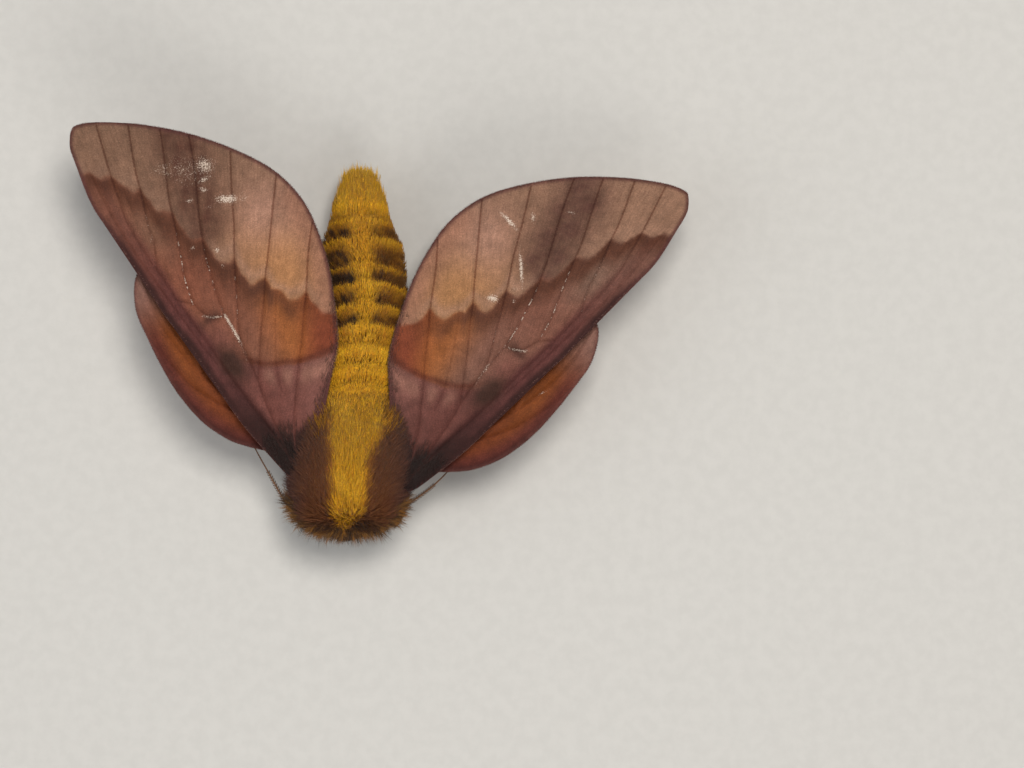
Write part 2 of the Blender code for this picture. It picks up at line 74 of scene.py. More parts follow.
FOREWING = (
    (0.2, -0.15), (1.2, -0.7), (4.0, -0.95), (7.5, -1.1), (11.4, -0.85), (15.4, -0.6),
    (18.8, -0.7), (22.8, -0.3), (27.8, 0.0), (30.1, 0.1), (32.0, 0.5), (34.4, 1.3),
    (36.1, 1.9), (37.1, 2.8), (37.3, 3.6), (36.4, 5.3), (34.0, 8.1), (30.6, 11.1),
    (26.8, 13.5), (23.3, 15.0), (19.8, 15.4), (16.6, 14.8), (13.3, 13.6), (10.0, 11.8),
    (8.7, 11.0), (7.2, 9.9), (5.7, 8.1), (4.2, 6.0), (3.3, 4.6), (2.0, 3.4), (0.6, 2.2),
    (-0.6, 0.9),
)
FORE_VEINS = {
    "radius": ((0.4, 0.15), (3.0, 0.45), (6.0, 0.5), (9.1, 0.5), (11.3, 0.55), (14.1, 0.65),
               (17.2, 0.8), (19.3, 0.9), (21.0, 1.0), (22.7, 1.1), (24.6, 1.2), (27.4, 1.6),
               (29.5, 2.3), (31.6, 3.05), (33.7, 3.9), (37.0, 5.3)),
    "cubitus": ((0.4, 0.15), (3.4, 0.75), (5.8, 1.35), (7.9, 1.9), (9.3, 2.4), (10.9, 2.8),
                (12.9, 3.2), (15.8, 3.6)),
    "media3": ((15.8, 3.6), (18.1, 4.3), (19.5, 4.9), (20.8, 5.4), (23.5, 6.8), (25.8, 8.2),
               (27.9, 9.5), (30.1, 10.7), (31.4, 11.4)),
    "cubitus1": ((12.9, 3.2), (14.6, 4.2), (15.8, 5.1), (17.5, 6.2), (19.9, 7.9), (21.8, 9.3),
                 (24.4, 11.0), (27.1, 12.9), (28.3, 13.8)),
    "cubitus2": ((9.3, 2.4), (10.9, 3.8), (13.1, 5.8), (14.5, 7.1), (16.1, 8.5), (18.1, 10.4),
                 (21.5, 13.5), (23.9, 15.7)),
    "anal": ((0.9, 0.8), (1.7, 1.1), (3.2, 1.9), (4.8, 3.1), (6.4, 4.6), (8.0, 6.1), (9.5, 7.6),
             (11.3, 9.2), (13.0, 10.8), (15.9, 13.2), (18.6, 15.9)),
    "media1": ((22.7, 1.1), (24.8, 2.5), (26.2, 3.0), (28.9, 4.3), (31.1, 5.3), (33.1, 6.4),
               (35.2, 7.6)),
    "media2": ((18.3, 1.9), (20.6, 2.75), (22.0, 3.5), (24.5, 4.8), (27.2, 6.1), (29.7, 7.6),
               (32.1, 9.0), (33.4, 9.7)),
    "cross": ((15.8, 3.6), (16.4, 2.4), (18.3, 1.9), (19.4, 0.95)),
    "radius1": ((9.1, 0.5), (14.0, 0.2), (19.0, 0.25), (25.5, 0.45), (30.4, 1.1), (34.0, 1.9)),
}
FORE_VEINS["fold"] = ((7.1, 3.6), (9.2, 4.6), (11.9, 6.5), (14.4, 8.5))
# How strongly each vein's crest is rubbed. Its pale specks are partly worn scales and partly a
# painted shine.
RUBBED_SHINE = {"media1": 0.7, "media2": 1.0, "media3": 1.0, "cubitus1": 0.8, "cubitus2": 0.35}
# Rubbed patches of each forewing, painted pale for worn scales and a painted shine: s, w, direction
# in degrees, half length, half width, strength.
SHINY_SCUFFS = {
    -1: ((23.94, 10.19, 127, 1.3, 0.5, 1.0), (25.87, 7.39, 127, 0.5, 0.22, 0.85),
         (28.2, 8.9, 127, 2.9, 1.8, 0.5), (27.57, 10.4, 127, 1.1, 0.9, 0.85),
         (29.6, 7.2, 110, 1.4, 0.9, 0.5), (23.2, 11.4, 120, 0.8, 0.6, 0.5),
         (26.6, 9.6, 100, 0.9, 0.3, 0.85), (25.9, 9.0, 140, 0.5, 0.28, 0.9),
         (28.9, 7.4, 127, 0.9, 0.25, 0.6), (20.84, 6.71, 60, 0.32, 0.26, 0.95),
         (22.3, 5.09, 90, 0.3, 0.2, 0.8), (19.4, 6.3, 60, 0.3, 0.18, 0.8),
         (25.2, 2.5, 50, 0.5, 0.12, 0.6), (24.3, 8.6, 120, 0.6, 0.3, 0.5)),
    1: ((23.6, 12.0, 92, 1.35, 0.27, 1.0), (17.8, 7.77, 125, 0.7, 0.42, 1.0),
        (21.5, 8.0, 51, 2.1, 0.22, 1.0), (25.46, 10.8, 60, 0.6, 0.3, 0.85),
        (28.3, 8.9, 130, 0.55, 0.16, 0.8), (19.1, 6.26, 50, 0.3, 0.2, 0.85),
        (19.9, 7.0, 140, 0.5, 0.4, 0.55), (22.0, 12.6, 70, 1.0, 0.5, 0.4)),
}
HIND_SHINY_SCUFFS = {-1: (), 1: ((14.4, -1.25, -8, 0.6, 0.09, 1.0),)}
OUTER_LINE = ((33.9, 0.6), (32.9, 1.5), (30.7, 3.4), (26.9, 4.7), (23.3, 5.4), (19.7, 6.4),
              (16.4, 7.4), (13.3, 9.2), (11.4, 10.6), (9.0, 12.2))
INNER_LINE = ((12.3, 1.9), (11.4, 2.4), (10.1, 3.4), (9.2, 4.6), (8.4, 5.9), (7.7, 7.3),
              (7.0, 9.6))

HINDWING = (
    (-0.4, -0.6), (0.9, -1.2), (2.2, -2.1), (4.0, -3.2), (5.7, -3.9), (8.3, -4.3), (11.5, -4.0),
    (14.5, -3.2), (17.0, -2.3), (19.2, -1.4), (20.9, 0.0), (21.7, 1.3), (21.8, 2.8),
    (21.1, 4.6), (19.5, 7.2), (17.4, 9.7), (15.2, 11.5), (13.0, 12.3), (11.3, 11.9), (9.2, 9.6),
    (6.3, 6.3), (3.6, 3.1), (1.8, 1.3), (-0.2, 0.9),
)
HIND_VEINS = {
    "radius": ((0.6, -0.3), (4.0, -0.9), (7.5, -1.3), (11.0, -1.4), (14.5, -1.2), (18.0, -0.4),
               (22.2, 1.6)),
    "front": ((4.0, -0.9), (7.5, -2.0), (11.0, -2.7), (14.5, -2.6), (18.2, -2.0)),
    "media2": ((11.0, -1.4), (14.5, 0.6), (18.0, 2.3), (22.0, 4.3)),
    "cubitus": ((0.6, -0.3), (4.5, 0.7), (7.6, 1.9), (10.4, 2.9), (14.0, 4.5), (17.6, 6.1),
                (20.6, 7.4)),
    "cross": ((10.4, 2.9), (10.9, 0.8), (11.0, -1.4)),
    "cubitus1": ((7.6, 1.9), (10.7, 4.6), (14.0, 7.2), (18.9, 10.6)),
    "anal": ((2.4, 0.6), (4.5, 2.2), (7.4, 4.6), (10.6, 7.8), (15.6, 12.5)),
}
WING_POSES = {
    "right": {"side": -1, "root": (-7.48, -12.81, 8.5), "azimuth": 37.0, "rise": 7.5,
              "roll": 14.0, "hind_root": (-7.3, -10.4), "hind_azimuth": 45.4},
    "left": {"side": 1, "root": (1.8, -14.05, 8.65), "azimuth": 48.3, "rise": 0.5,
             "roll": 13.0, "hind_root": (1.85, -11.65), "hind_azimuth": 57.8},
}
HINDWING_DROP = 1.42
WING_THICK = 0.15
VEIN_HIGH = 0.15
VEIN_HALF = 0.3

# Skin sections: y, middle x, half width, underside z, level of the widest line, top z.
BODY = (
    (-17.10, -3.30, 1.9, 6.7, 7.5, 8.1), (-16.40, -3.24, 3.0, 5.9, 7.4, 8.9),
    (-15.30, -3.15, 3.85, 4.7, 7.1, 9.4), (-13.60, -3.00, 4.2, 3.2, 6.6, 9.65),
    (-12.00, -2.88, 4.3, 2.7, 6.3, 9.65), (-10.40, -2.70, 4.15, 2.6, 6.1, 9.3),
    (-8.80, -2.52, 3.8, 2.6, 5.9, 8.6), (-7.20, -2.36, 3.3, 2.6, 5.4, 7.7),
    (-5.90, -2.24, 2.85, 2.1, 4.8, 7.05), (-4.60, -2.12, 2.8, 1.5, 4.4, 6.85),
    (-2.60, -1.95, 2.85, 0.9, 4.1, 6.85), (0.60, -1.70, 2.9, 0.5, 4.0, 6.8),
    (4.30, -1.60, 3.05, 0.35, 3.9, 6.7), (7.60, -1.95, 2.95, 0.35, 3.8, 6.5),
    (9.60, -2.08, 2.5, 0.5, 3.75, 6.2), (11.60, -2.12, 2.15, 0.9, 3.7, 5.75),
    (13.10, -2.12, 1.5, 1.5, 3.65, 5.25), (14.40, -2.12, 0.85, 2.3, 3.6, 4.6),
)
HEAD_CENTRE = np.array((-3.40, -17.2, 4.85))
HEAD_RADII = np.array((1.55, 1.25, 1.7))
FEELERS = {
    "right": ((-4.2, -17.1, 6.15), (-5.15, -17.35, 6.5), (-6.3, -17.15, 6.3),
              (-7.4, -16.65, 6.1), (-8.5, -15.6, 5.9), (-9.45, -14.1, 5.85),
              (-10.4, -12.4, 5.85), (-11.35, -10.7, 5.9), (-12.0, -9.4, 5.95)),
    "left": ((-2.6, -17.1, 6.15), (-1.65, -17.35, 6.5), (-0.55, -17.1, 6.3), (0.6, -16.5, 6.1),
             (1.7, -15.65, 5.9), (3.2, -14.65, 5.85), (4.7, -13.5, 5.85), (6.0, -12.2, 5.9),
             (7.0, -10.9, 5.95)),
}
LEGS = {
    "front": ((1.6, -13.7, 3.3, 0.5), (2.3, -14.4, 2.6, 0.5), (3.3, -15.1, 2.75, 0.46),
              (4.3, -15.7, 2.2, 0.36), (4.75, -16.0, 1.1, 0.3), (4.9, -16.3, 0.4, 0.24),
              (4.6, -16.9, 0.27, 0.22), (4.3, -17.45, 0.25, 0.2)),
    "middle": ((3.4, -11.3, 3.4, 0.5), (4.6, -11.2, 2.45, 0.5), (5.6, -10.7, 2.8, 0.46),
               (6.5, -10.0, 2.3, 0.36), (7.1, -9.4, 1.1, 0.3), (7.4, -9.0, 0.4, 0.24),
               (7.9, -8.6, 0.27, 0.22), (8.55, -8.22, 0.25, 0.2)),
    "hind": ((2.9, -8.4, 3.3, 0.5), (3.9, -7.9, 2.4, 0.5), (4.9, -6.6, 2.85, 0.48),
             (5.6, -4.6, 2.6, 0.38), (6.0, -2.4, 1.3, 0.31), (6.1, -1.2, 0.42, 0.25),
             (6.2, 0.0, 0.27, 0.22), (6.38, 0.95, 0.25, 0.2)),
}

# Hind edges of the abdomen's hair fringes: y at the middle, then the dark hair just behind each:
# its width, its depth of colour, and the half width of the yellow gap in it.
FRINGES = (
    (-6.5, 0.3, 0.2, 2.4), (-4.6, 0.35, 0.3, 1.4), (-2.7, 0.35, 0.3, 1.2), (-0.9, 0.6, 0.5, 1.3),
    (1.1, 1.15, 1.0, 0.4), (3.0, 1.5, 1.0, 0.7), (4.95, 1.4, 1.0, 0.6), (6.5, 1.95, 1.0, 0.95),
    (9.0, 1.25, 1.0, 0.75), (10.7, 0.6, 0.4, 0.2), (15.2, 0.1, 0.0, 1.0), (18.0, 0.1, 0.0, 1.0),
)
FRINGE_BOW = 0.09
EDGES, EDGE_WIDTHS = np.array(FRINGES)[:, :2].T
WING_TONE = 0.8
HIND_TONE = 0.62

# Colours, linear.
YELLOW = np.array((0.62, 0.318, 0.012))
YELLOW_PALE = np.array((0.74, 0.43, 0.028))
ORANGE_HAIR = np.array((0.40, 0.150, 0.010))
DARK_HAIR = np.array((0.028, 0.014, 0.006))
SIDE_HAIR = np.array((0.138, 0.048, 0.017))
MAUVE_HAIR = np.array((0.088, 0.037, 0.028))
RUFF_HAIR = np.array((0.232, 0.104, 0.025))
BELLY_HAIR = np.array((0.42, 0.22, 0.08))
LEG_HAIR = np.array((0.15, 0.058, 0.038))


def smooth_line(points, per=6, closed=False):
    """Catmull-Rom curve through the points."""
    p = np.array(points, float)
    count = len(p)
    if not closed:
        p = np.vstack([2 * p[0] - p[1], p, 2 * p[-1] - p[-2]])
    out = []
    for i in range(count if closed else count - 1):
        if closed:
            a, b, c, d = (p[(i + k - 1) % count] for k in range(4))
        else:
            a, b, c, d = p[i], p[i + 1], p[i + 2], p[i + 3]
        for t in np.arange(per) / per:
            out.append(0.5 * (2 * b + (c - a) * t + (2 * a - 5 * b + 4 * c - d) * t ** 2
                              + (3 * b - a - 3 * c + d) * t ** 3))
    if not closed:
        out.append(p[-2])
    return np.array(out)


def resample(line, step, closed=False):
    if closed:
        line = np.vstack([line, line[:1]])
    run = np.concatenate([[0], np.cumsum(np.linalg.norm(np.diff(line, axis=0), axis=1))])
    at = np.linspace(0, run[-1], max(2, round(run[-1] / step) + 1))
    out = np.column_stack([np.interp(at, run, line[:, k]) for k in range(line.shape[1])])
    return out[:-1] if closed else out


def distance_to(points, line, closed=False):
    """Distance of each point from a line, and the side it lies on, positive to its right."""
    ends = np.roll(line, -1, axis=0) if closed else line[1:]
    starts = line if closed else line[:-1]
    best = np.full(len(points), 1e9)
    sign = np.ones(len(points))
    for a, b in zip(starts, ends):
        along = b - a
        reach = points - a
        t = np.clip(reach @ along / max(along @ along, 1e-12), 0, 1)
        gap = reach - t[:, None] * along
        size = np.linalg.norm(gap, axis=1)
        nearer = size < best
        best[nearer] = size[nearer]
        turn = along[1] * reach[:, 0] - along[0] * reach[:, 1]
        sign[nearer] = np.sign(turn[nearer])
    return best, sign


def inside(points, loop):
    found = np.zeros(len(points), bool)
    for a, b in zip(loop, np.roll(loop, -1, axis=0)):
        crosses = (a[1] > points[:, 1]) != (b[1] > points[:, 1])
        if not crosses.any():
            continue
        x = (b[0] - a[0]) * (points[:, 1] - a[1]) / (b[1] - a[1]) + a[0]
        found ^= crosses & (points[:, 0] < x)
    return found


def ramp(x, low, high):
    t = np.clip((x - low) / (high - low), 0, 1)
    return t * t * (3 - 2 * t)


def bell(x, middle, width):
    return np.exp(-((x - middle) / width) ** 2)


def mix(a, b, share):
    """Blend of two colours, or of rows of them, by each point's share of the second."""
    share = np.asarray(share)[..., None]
    return np.asarray(a) * (1 - share) + np.asarray(b) * share


def layered(colour, *layers):
    """Lays colours over each other, each by its share."""
    for over, share in layers:
        colour = mix(colour, over, share)
    return colour


def normed(vectors):
    return vectors / np.linalg.norm(vectors, axis=-1, keepdims=True)


def wave(*axes, seed=0):
    """Smooth seeded unevenness between about -1 and 1."""
    rng = np.random.default_rng(seed)
    total = 0
    for k in range(6):
        turn = rng.uniform(-1, 1, len(axes))
        total = total + np.sin(sum(a * t * (1 + 0.7 * k) for a, t in zip(axes, turn))
                               + rng.uniform(0, 6.28)) / (1 + 0.35 * k)
    return total / 2.2


def wing_frame(pose):
    azimuth, rise, roll = (math.radians(pose[k]) for k in ("azimuth", "rise", "roll"))
    side = pose["side"]
    ahead = np.array([math.sin(azimuth) * side, math.cos(azimuth), 0.0])
    along = ahead * math.cos(rise) + np.array([0.0, 0.0, math.sin(rise)])
    inward = np.array([-math.cos(azimuth) * side, math.sin(azimuth), 0.0])
    up = np.cross(along, inward)
    up *= np.sign(up[2]) / np.linalg.norm(up)
    span = inward * math.cos(roll) - up * math.sin(roll)
    up = np.cross(along, span)
    up *= np.sign(up[2])
    return along, span, up


def camber(s, w):
    inner = np.clip((w - 3.0) / 12.0, 0, None)
    tip = np.clip((s - 22.0) / 15.0, 0, None)
    return 1.75 * inner ** 2 - 0.9 * tip ** 2


def forewing_points(pose, s, w, off):
    along, span, up = wing_frame(pose)
    rise = camber(s, w) + off
    return (np.array(pose["root"]) + s[:, None] * along + w[:, None] * span
            + rise[:, None] * up)


def hindwing_points(pose, s, w, off):
    side, azimuth = pose["side"], math.radians(pose["hind_azimuth"])
    ahead = np.array([math.sin(azimuth) * side, math.cos(azimuth)])
    inward = np.array([-math.cos(azimuth) * side, math.sin(azimuth)])
    flat = np.array(pose["hind_root"]) + s[:, None] * ahead + w[:, None] * inward
    along, span, _ = wing_frame(pose)
    basis = np.column_stack([along[:2], span[:2]])
    found = np.linalg.solve(basis, (flat - np.array(pose["root"][:2])).T)
    over = forewing_points(pose, found[0], np.clip(found[1], -6.0, 30.0), np.zeros(len(s)))
    sink = np.clip((w - 3.0) / 10.0, 0, 1) ** 2 * np.clip((16.0 - s) / 10.0, 0, 1)
    return np.column_stack([flat, over[:, 2] - HINDWING_DROP - 1.6 * sink + off])


def make_mesh(name, points, faces, material, colours=None, uv=None, floats=None):
    """One object from points in drawing units and an array of triangles (or of quads)."""
    mesh = bpy.data.meshes.new(name)
    faces = np.asarray(faces, np.int32)
    corners = faces.shape[1]
    mesh.vertices.add(len(points))
    mesh.vertices.foreach_set("co", (np.asarray(points, float) * UNIT).astype(np.float32).ravel())
    mesh.loops.add(faces.size)
    mesh.loops.foreach_set("vertex_index", faces.ravel())
    mesh.polygons.add(len(faces))
    mesh.polygons.foreach_set("loop_start", np.arange(0, faces.size, corners, dtype=np.int32))
    mesh.update(calc_edges=True)
    mesh.polygons.foreach_set("use_smooth", np.full(len(faces), True))
    if colours is not None:
        layer = mesh.color_attributes.new(name="Col", type="FLOAT_COLOR", domain="POINT")
        rgba = np.ones((len(points), 4), np.float32)
        rgba[:, :3] = colours
        layer.data.foreach_set("color", rgba.ravel())
    for key, values in (floats or {}).items():
        values = np.asarray(values, np.float32)
        kind, field = ("FLOAT", "value") if values.ndim == 1 else ("FLOAT_VECTOR", "vector")
        layer = mesh.attributes.new(name=key, type=kind, domain="POINT")
        layer.data.foreach_set(field, values.ravel())
    if uv is not None:
        layer = mesh.uv_layers.new(name="OFBake")
        layer.data.foreach_set("uv", np.asarray(uv, np.float32)[faces.ravel()].ravel())
    obj = bpy.data.objects.new(name, mesh)
    bpy.context.scene.collection.objects.link(obj)
    mesh.materials.append(material)
    PIECES.append(obj)
    return obj


class Nodes:
    """Short way to build a material's nodes."""

    def __init__(self, name):
        self.material = bpy.data.materials.new(name)
        self.material.use_nodes = True
        self.tree = self.material.node_tree
        self.shader = self.tree.nodes["Principled BSDF"]

    def add(self, kind, **values):
        node = self.tree.nodes.new(kind)
        for key, value in values.items():
            if hasattr(node, key):
                setattr(node, key, value)
            else:
                socket = node.inputs[key.replace("_", " ")]
                if hasattr(value, "is_output"):
                    self.tree.links.new(value, socket)
                else:
                    socket.default_value = value
        return node

    def link(self, a, b):
        self.tree.links.new(a, b)

    def attribute(self, name):
        return self.add("ShaderNodeAttribute", attribute_name=name)

    def noise(self, scale, detail=3.0, roughness=0.55):
        """Noise whose features are about 1/scale metres across, in the piece's own space."""
        place = self.add("ShaderNodeTexCoord")
        node = self.add("ShaderNodeTexNoise", Scale=scale, Detail=detail, Roughness=roughness)
        self.link(place.outputs["Object"], node.inputs["Vector"])
        return node.outputs["Fac"]

    def streaks(self, along, across):
        """Noise drawn out along the wing's veins, which fan out from its base."""
        place = self.attribute("fan")
        stretch = self.add("ShaderNodeMapping")
        stretch.inputs["Scale"].default_value = (along, across, 1.0)
        node = self.add("ShaderNodeTexNoise", Scale=1.0, Detail=3.0, Roughness=0.6)
        self.link(place.outputs["Vector"], stretch.inputs["Vector"])
        self.link(stretch.outputs["Vector"], node.inputs["Vector"])
        return node.outputs["Fac"]

    def cells(self, scale):
        place = self.add("ShaderNodeTexCoord")
        node = self.add("ShaderNodeTexVoronoi", Scale=scale)
        self.link(place.outputs["Object"], node.inputs["Vector"])
        return node.outputs["Distance"]

    def map(self, value, low, high, to_low=0.0, to_high=1.0, smooth=True):
        node = self.add("ShaderNodeMapRange")
        node.interpolation_type = "SMOOTHSTEP" if smooth else "LINEAR"
        self.link(value, node.inputs["Value"])
        for key, number in (("From Min", low), ("From Max", high), ("To Min", to_low),
                            ("To Max", to_high)):
            node.inputs[key].default_value = number
        return node.outputs["Result"]

    def math(self, kind, a, b=0.0):
        node = self.add("ShaderNodeMath", operation=kind)
        for i, value in enumerate((a, b)):
            if hasattr(value, "is_output"):
                self.link(value, node.inputs[i])
            else:
                node.inputs[i].default_value = value
        return node.outputs[0]

    def mix(self, share, a, b, kind="MIX"):
        node = self.add("ShaderNodeMix", data_type="RGBA", blend_type=kind)
        for socket, value in ((node.inputs[0], share), (node.inputs[6], a), (node.inputs[7], b)):
            if hasattr(value, "is_output"):
                self.link(value, socket)
            elif isinstance(value, (int, float)):
                socket.default_value = value
            else:
                socket.default_value = (*value, 1.0)
        return node.outputs[2]

    def times(self, colour, factor):
        return self.mix(1.0, colour, factor, "MULTIPLY")

    def bump(self, height, strength, distance):
        node = self.add("ShaderNodeBump")
        node.inputs["Strength"].default_value = strength
        node.inputs["Distance"].default_value = distance
        self.link(height, node.inputs["Height"])
        self.link(node.outputs["Normal"], self.shader.inputs["Normal"])

    def finish(self, colour, roughness=0.7, sheen=0.0, specular=0.3):
        self.link(colour, self.shader.inputs["Base Color"])
        if hasattr(roughness, "is_output"):
            self.link(roughness, self.shader.inputs["Roughness"])
        else:
            self.shader.inputs["Roughness"].default_value = roughness
        self.shader.inputs["Sheen Weight"].default_value = sheen
        self.shader.inputs["Sheen Roughness"].default_value = 0.45
        self.shader.inputs["Specular IOR Level"].default_value = specular
        return self.material


def hair_material(name):
    """Hair: each tuft's own colour, a little uneven along its length."""
    n = Nodes(name)
    colour = n.attribute("Col").outputs["Color"]
    grain = n.map(n.noise(9000.0, 2.0), 0.3, 0.7, 0.82, 1.12)
    colour = n.times(colour, grain)
    n.bump(n.noise(14000.0, 2.0), 0.3, 0.00002)
    return n.finish(colour, n.map(n.noise(5000.0), 0.3, 0.7, 0.5, 0.72), 0.05, 0.12)


def skin_material(name):
    n = Nodes(name)
    colour = n.attribute("Col").outputs["Color"]
    mottled = n.map(n.noise(2500.0, 5.0), 0.3, 0.7, 0.65, 1.2)
    colour = n.times(colour, mottled)
    n.bump(n.noise(6000.0, 5.0), 0.6, 0.00008)
    return n.finish(colour, 0.8, 0.0, 0.25)


def wing_material(name):
    """Scaled membrane: zone colours, darker veins, pale rubbed crests and patches that are partly
    worn scales and partly a painted shine, painted glints of single scales, shingled scales in
    relief.
    """
    n = Nodes(name)
    colour = n.attribute("Col").outputs["Color"]
    vein = n.attribute("vein").outputs["Fac"]
    dark = n.attribute("veindark").outputs["Fac"]
    rub_shine = n.attribute("rub_shine").outputs["Fac"]
    fine = n.noise(9500.0, 2.0, 0.6)
    broad = n.noise(1300.0, 5.0, 0.6)
    scales = n.cells(7500.0)
    colour = n.times(colour, n.map(fine, 0.25, 0.75, 0.74, 1.26, False))
    colour = n.times(colour, n.map(broad, 0.3, 0.7, 0.88, 1.12))
    rows = n.map(n.streaks(0.45, 5.5), 0.3, 0.7, 0.9, 1.09)
    colour = n.times(colour, rows)
    colour = n.times(colour, (0.98, 0.93, 0.97))
    # Painted glints: a fine speckle of lighter colour for single scales that catch the light.
    scale_glints = n.map(n.noise(12000.0, 2.0, 0.7), 0.52, 0.68, 0.0, 0.42)
    colour = n.mix(scale_glints, colour, n.times(colour, (1.75, 1.9, 2.0)))
    line = n.map(n.math("ADD", vein, n.map(fine, 0.0, 1.0, -0.05, 0.05, False)), 0.15, 0.02)
    colour = n.mix(n.math("MULTIPLY", line, dark), colour, (0.48, 0.37, 0.34), "MULTIPLY")
    # Worn vein crests and rubbed patches are painted a pale colour: partly real wear, partly a
    # painted shine.
    grains = n.noise(9500.0, 4.0, 0.8)
    runs = n.map(n.noise(2400.0, 4.0), 0.40, 0.58)
    wander = n.math("ADD", vein, n.map(grains, 0.3, 0.7, -0.06, 0.06, False))
    crest = n.math("MULTIPLY", n.map(wander, 0.17, 0.02), n.attribute("crest").outputs["Fac"])
    worn_shine = n.math("MAXIMUM", n.math("MULTIPLY", n.math("MULTIPLY", crest, runs), 0.8), rub_shine)
    spots = n.map(n.math("ADD", grains, n.math("MULTIPLY", worn_shine, 0.3)), 0.68, 0.8)
    share = n.math("MULTIPLY", n.map(worn_shine, 0.0, 0.08), spots)
    share = n.math("MULTIPLY", share, n.map(worn_shine, 0.1, 1.0, 0.5, 0.92))
    colour = n.mix(share, colour, (0.60, 0.49, 0.40))
    height = n.math("ADD", n.math("MULTIPLY", scales, 0.7), n.math("MULTIPLY", fine, 0.6))
    n.bump(height, 0.5, 0.00005)
    return n.finish(colour, n.map(fine, 0.3, 0.7, 0.55, 0.75), 0.03, 0.08)


def eye_material():
    n = Nodes("eye_facets")
    cell = n.cells(11000.0)
    colour = n.mix(n.map(cell, 0.2, 0.6), (0.024, 0.013, 0.010), (0.006, 0.004, 0.004))
    colour = n.mix(n.map(n.noise(1800.0), 0.45, 0.65), colour, (0.042, 0.019, 0.011))
    n.bump(n.map(cell, 0.0, 0.6, 1.0, 0.0), 0.35, 0.00002)
    return n.finish(colour, 0.3, 0.0, 0.12)


def feeler_material():
    n = Nodes("feeler_horn")
    colour = n.attribute("Col").outputs["Color"]
    colour = n.times(colour, n.map(n.noise(7000.0, 3.0), 0.3, 0.7, 0.7, 1.25))
    n.bump(n.noise(9000.0, 3.0), 0.4, 0.00003)
    return n.finish(colour, 0.6, 0.05, 0.2)


def in_box(centre):
    """Keeps tips within the solids' own extent and off the floor."""
    return np.clip(centre, BOX_LOW + BOX_GAP, BOX_HIGH - BOX_GAP)


def above_floor(centre):
    centre[..., 2] = np.maximum(centre[..., 2], FLOOR_GAP)
    return centre


def tufts(name, start, lie, normal, length, width, lift, colour, uv, material, rng,
          stations=4, curl=0.12, root_shade=0.7, keep=in_box, sweep=0.0):
    """Tapered three-sided tufts. Each leaves its root, rises, then bends over along the lie."""
    count = len(start)
    if count > TUFTS_PER_PIECE:
        parts = np.array_split(np.arange(count), math.ceil(count / TUFTS_PER_PIECE))
        for i, p in enumerate(parts):
            tufts(f"{name}_{i + 1}", start[p], lie[p], normal[p], length[p], width[p], lift[p],
                  colour[p], uv[p], material, rng, stations, curl, root_shade, keep, sweep)
        return
    side = normed(np.cross(normal, lie))
    t = np.linspace(0, 1, stations)
    bend = rng.normal(0, curl, count)
    twist = rng.normal(0, curl, count) + sweep
    centre = []
    for part in t:
        out = lift * (part - 0.5 * part ** 2) * 2
        centre.append(start + length[:, None] * (
            lie * (part * np.sqrt(np.clip(1 - (0.5 * lift) ** 2, 0.3, 1)))[:, None]
            + normal * out[:, None] + side * (bend * part + twist * part ** 2)[:, None]))
    centre = keep(np.array(centre))
    shares = np.array((1.0, 0.9, 0.55, 0.3))[:stations - 1] if stations > 3 else (1.0, 0.7)
    corners = ((-0.5, -0.22), (0.5, -0.22), (0.0, 0.5))
    rows = []
    tone = []
    root = np.ones(3) * root_shade
    for k in range(stations - 1):
        wide = (width * shares[k])[:, None]
        for a, b in corners:
            rows.append(centre[k] + side * a * wide + normal * b * wide)
            tone.append(root + (1 - root) * min(1.0, t[k] * 1.5))
    rows.append(centre[-1])
    tone.append(root * 0 + 1.12)
    points = np.stack(rows, axis=1)
    per = points.shape[1]
    colours = np.clip(colour, DARKEST, 1)[:, None, :] * np.array(tone)[None]
    faces = [(0, 2, 1)]
    for k in range(stations - 2):
        for i in range(3):
            a, b = 3 * k + i, 3 * k + (i + 1) % 3
            faces += [(a, b, b + 3), (a, b + 3, a + 3)]
    last = 3 * (stations - 2)
    faces += [(last + i, last + (i + 1) % 3, per - 1) for i in range(3)]
    index = (np.arange(count) * per)[:, None, None] + np.array(faces)[None]
    spread = np.array([((c % 3 - 1) * 0.0013, (c // 3) / max(stations - 1, 1) * 0.0028)
                       for c in range(per)])
    flat = uv[:, None, :] + spread[None]
    make_mesh(name, points.reshape(-1, 3), index.reshape(-1, 3), material,
              np.clip(colours.reshape(-1, 3), 0, 1), flat.reshape(-1, 2))


# The body: sections along y, joined into one skin.
BODY_LINE = smooth_line(BODY, per=4)


def body_section(y):
    ys = BODY_LINE[:, 0]
    row = [np.interp(y, ys, BODY_LINE[:, k]) for k in range(1, 6)]
    beyond = np.maximum(np.maximum(ys[0] - y, y - ys[-1]), 0.0)
    keep = np.clip(1 - 1.1 * beyond, 0.05, 1)
    return row[0], row[1] * keep, row[3] - (row[3] - row[2]) * keep, row[3], (
        row[3] + (row[4] - row[3]) * keep)


def body_point(y, angle, out=0.0):
    x, half, low, middle, high = body_section(y)
    c, s = np.cos(angle), np.sin(angle)
    flat = np.sign(c) * np.abs(c) ** 0.85 * (half + out)
    tall = np.where(s > 0, high - middle, middle - low) + out
    return np.column_stack([x + flat, y, middle + np.sign(s) * np.abs(s) ** 0.85 * tall])


def body_frame(y, angle):
    """Point, unit tangent along +y, unit tangent round the body, and outward normal."""
    p = body_point(y, angle)
    back = normed(body_point(y + 0.05, angle) - body_point(y - 0.05, angle))
    around = normed(body_point(y, angle + 0.02) - body_point(y, angle - 0.02))
    normal = normed(np.cross(back, around))
    outward = p - np.column_stack([body_section(y)[0], y, body_section(y)[3]])
    normal *= np.sign((normal * outward).sum(axis=1))[:, None]
    return p, back, around, normal


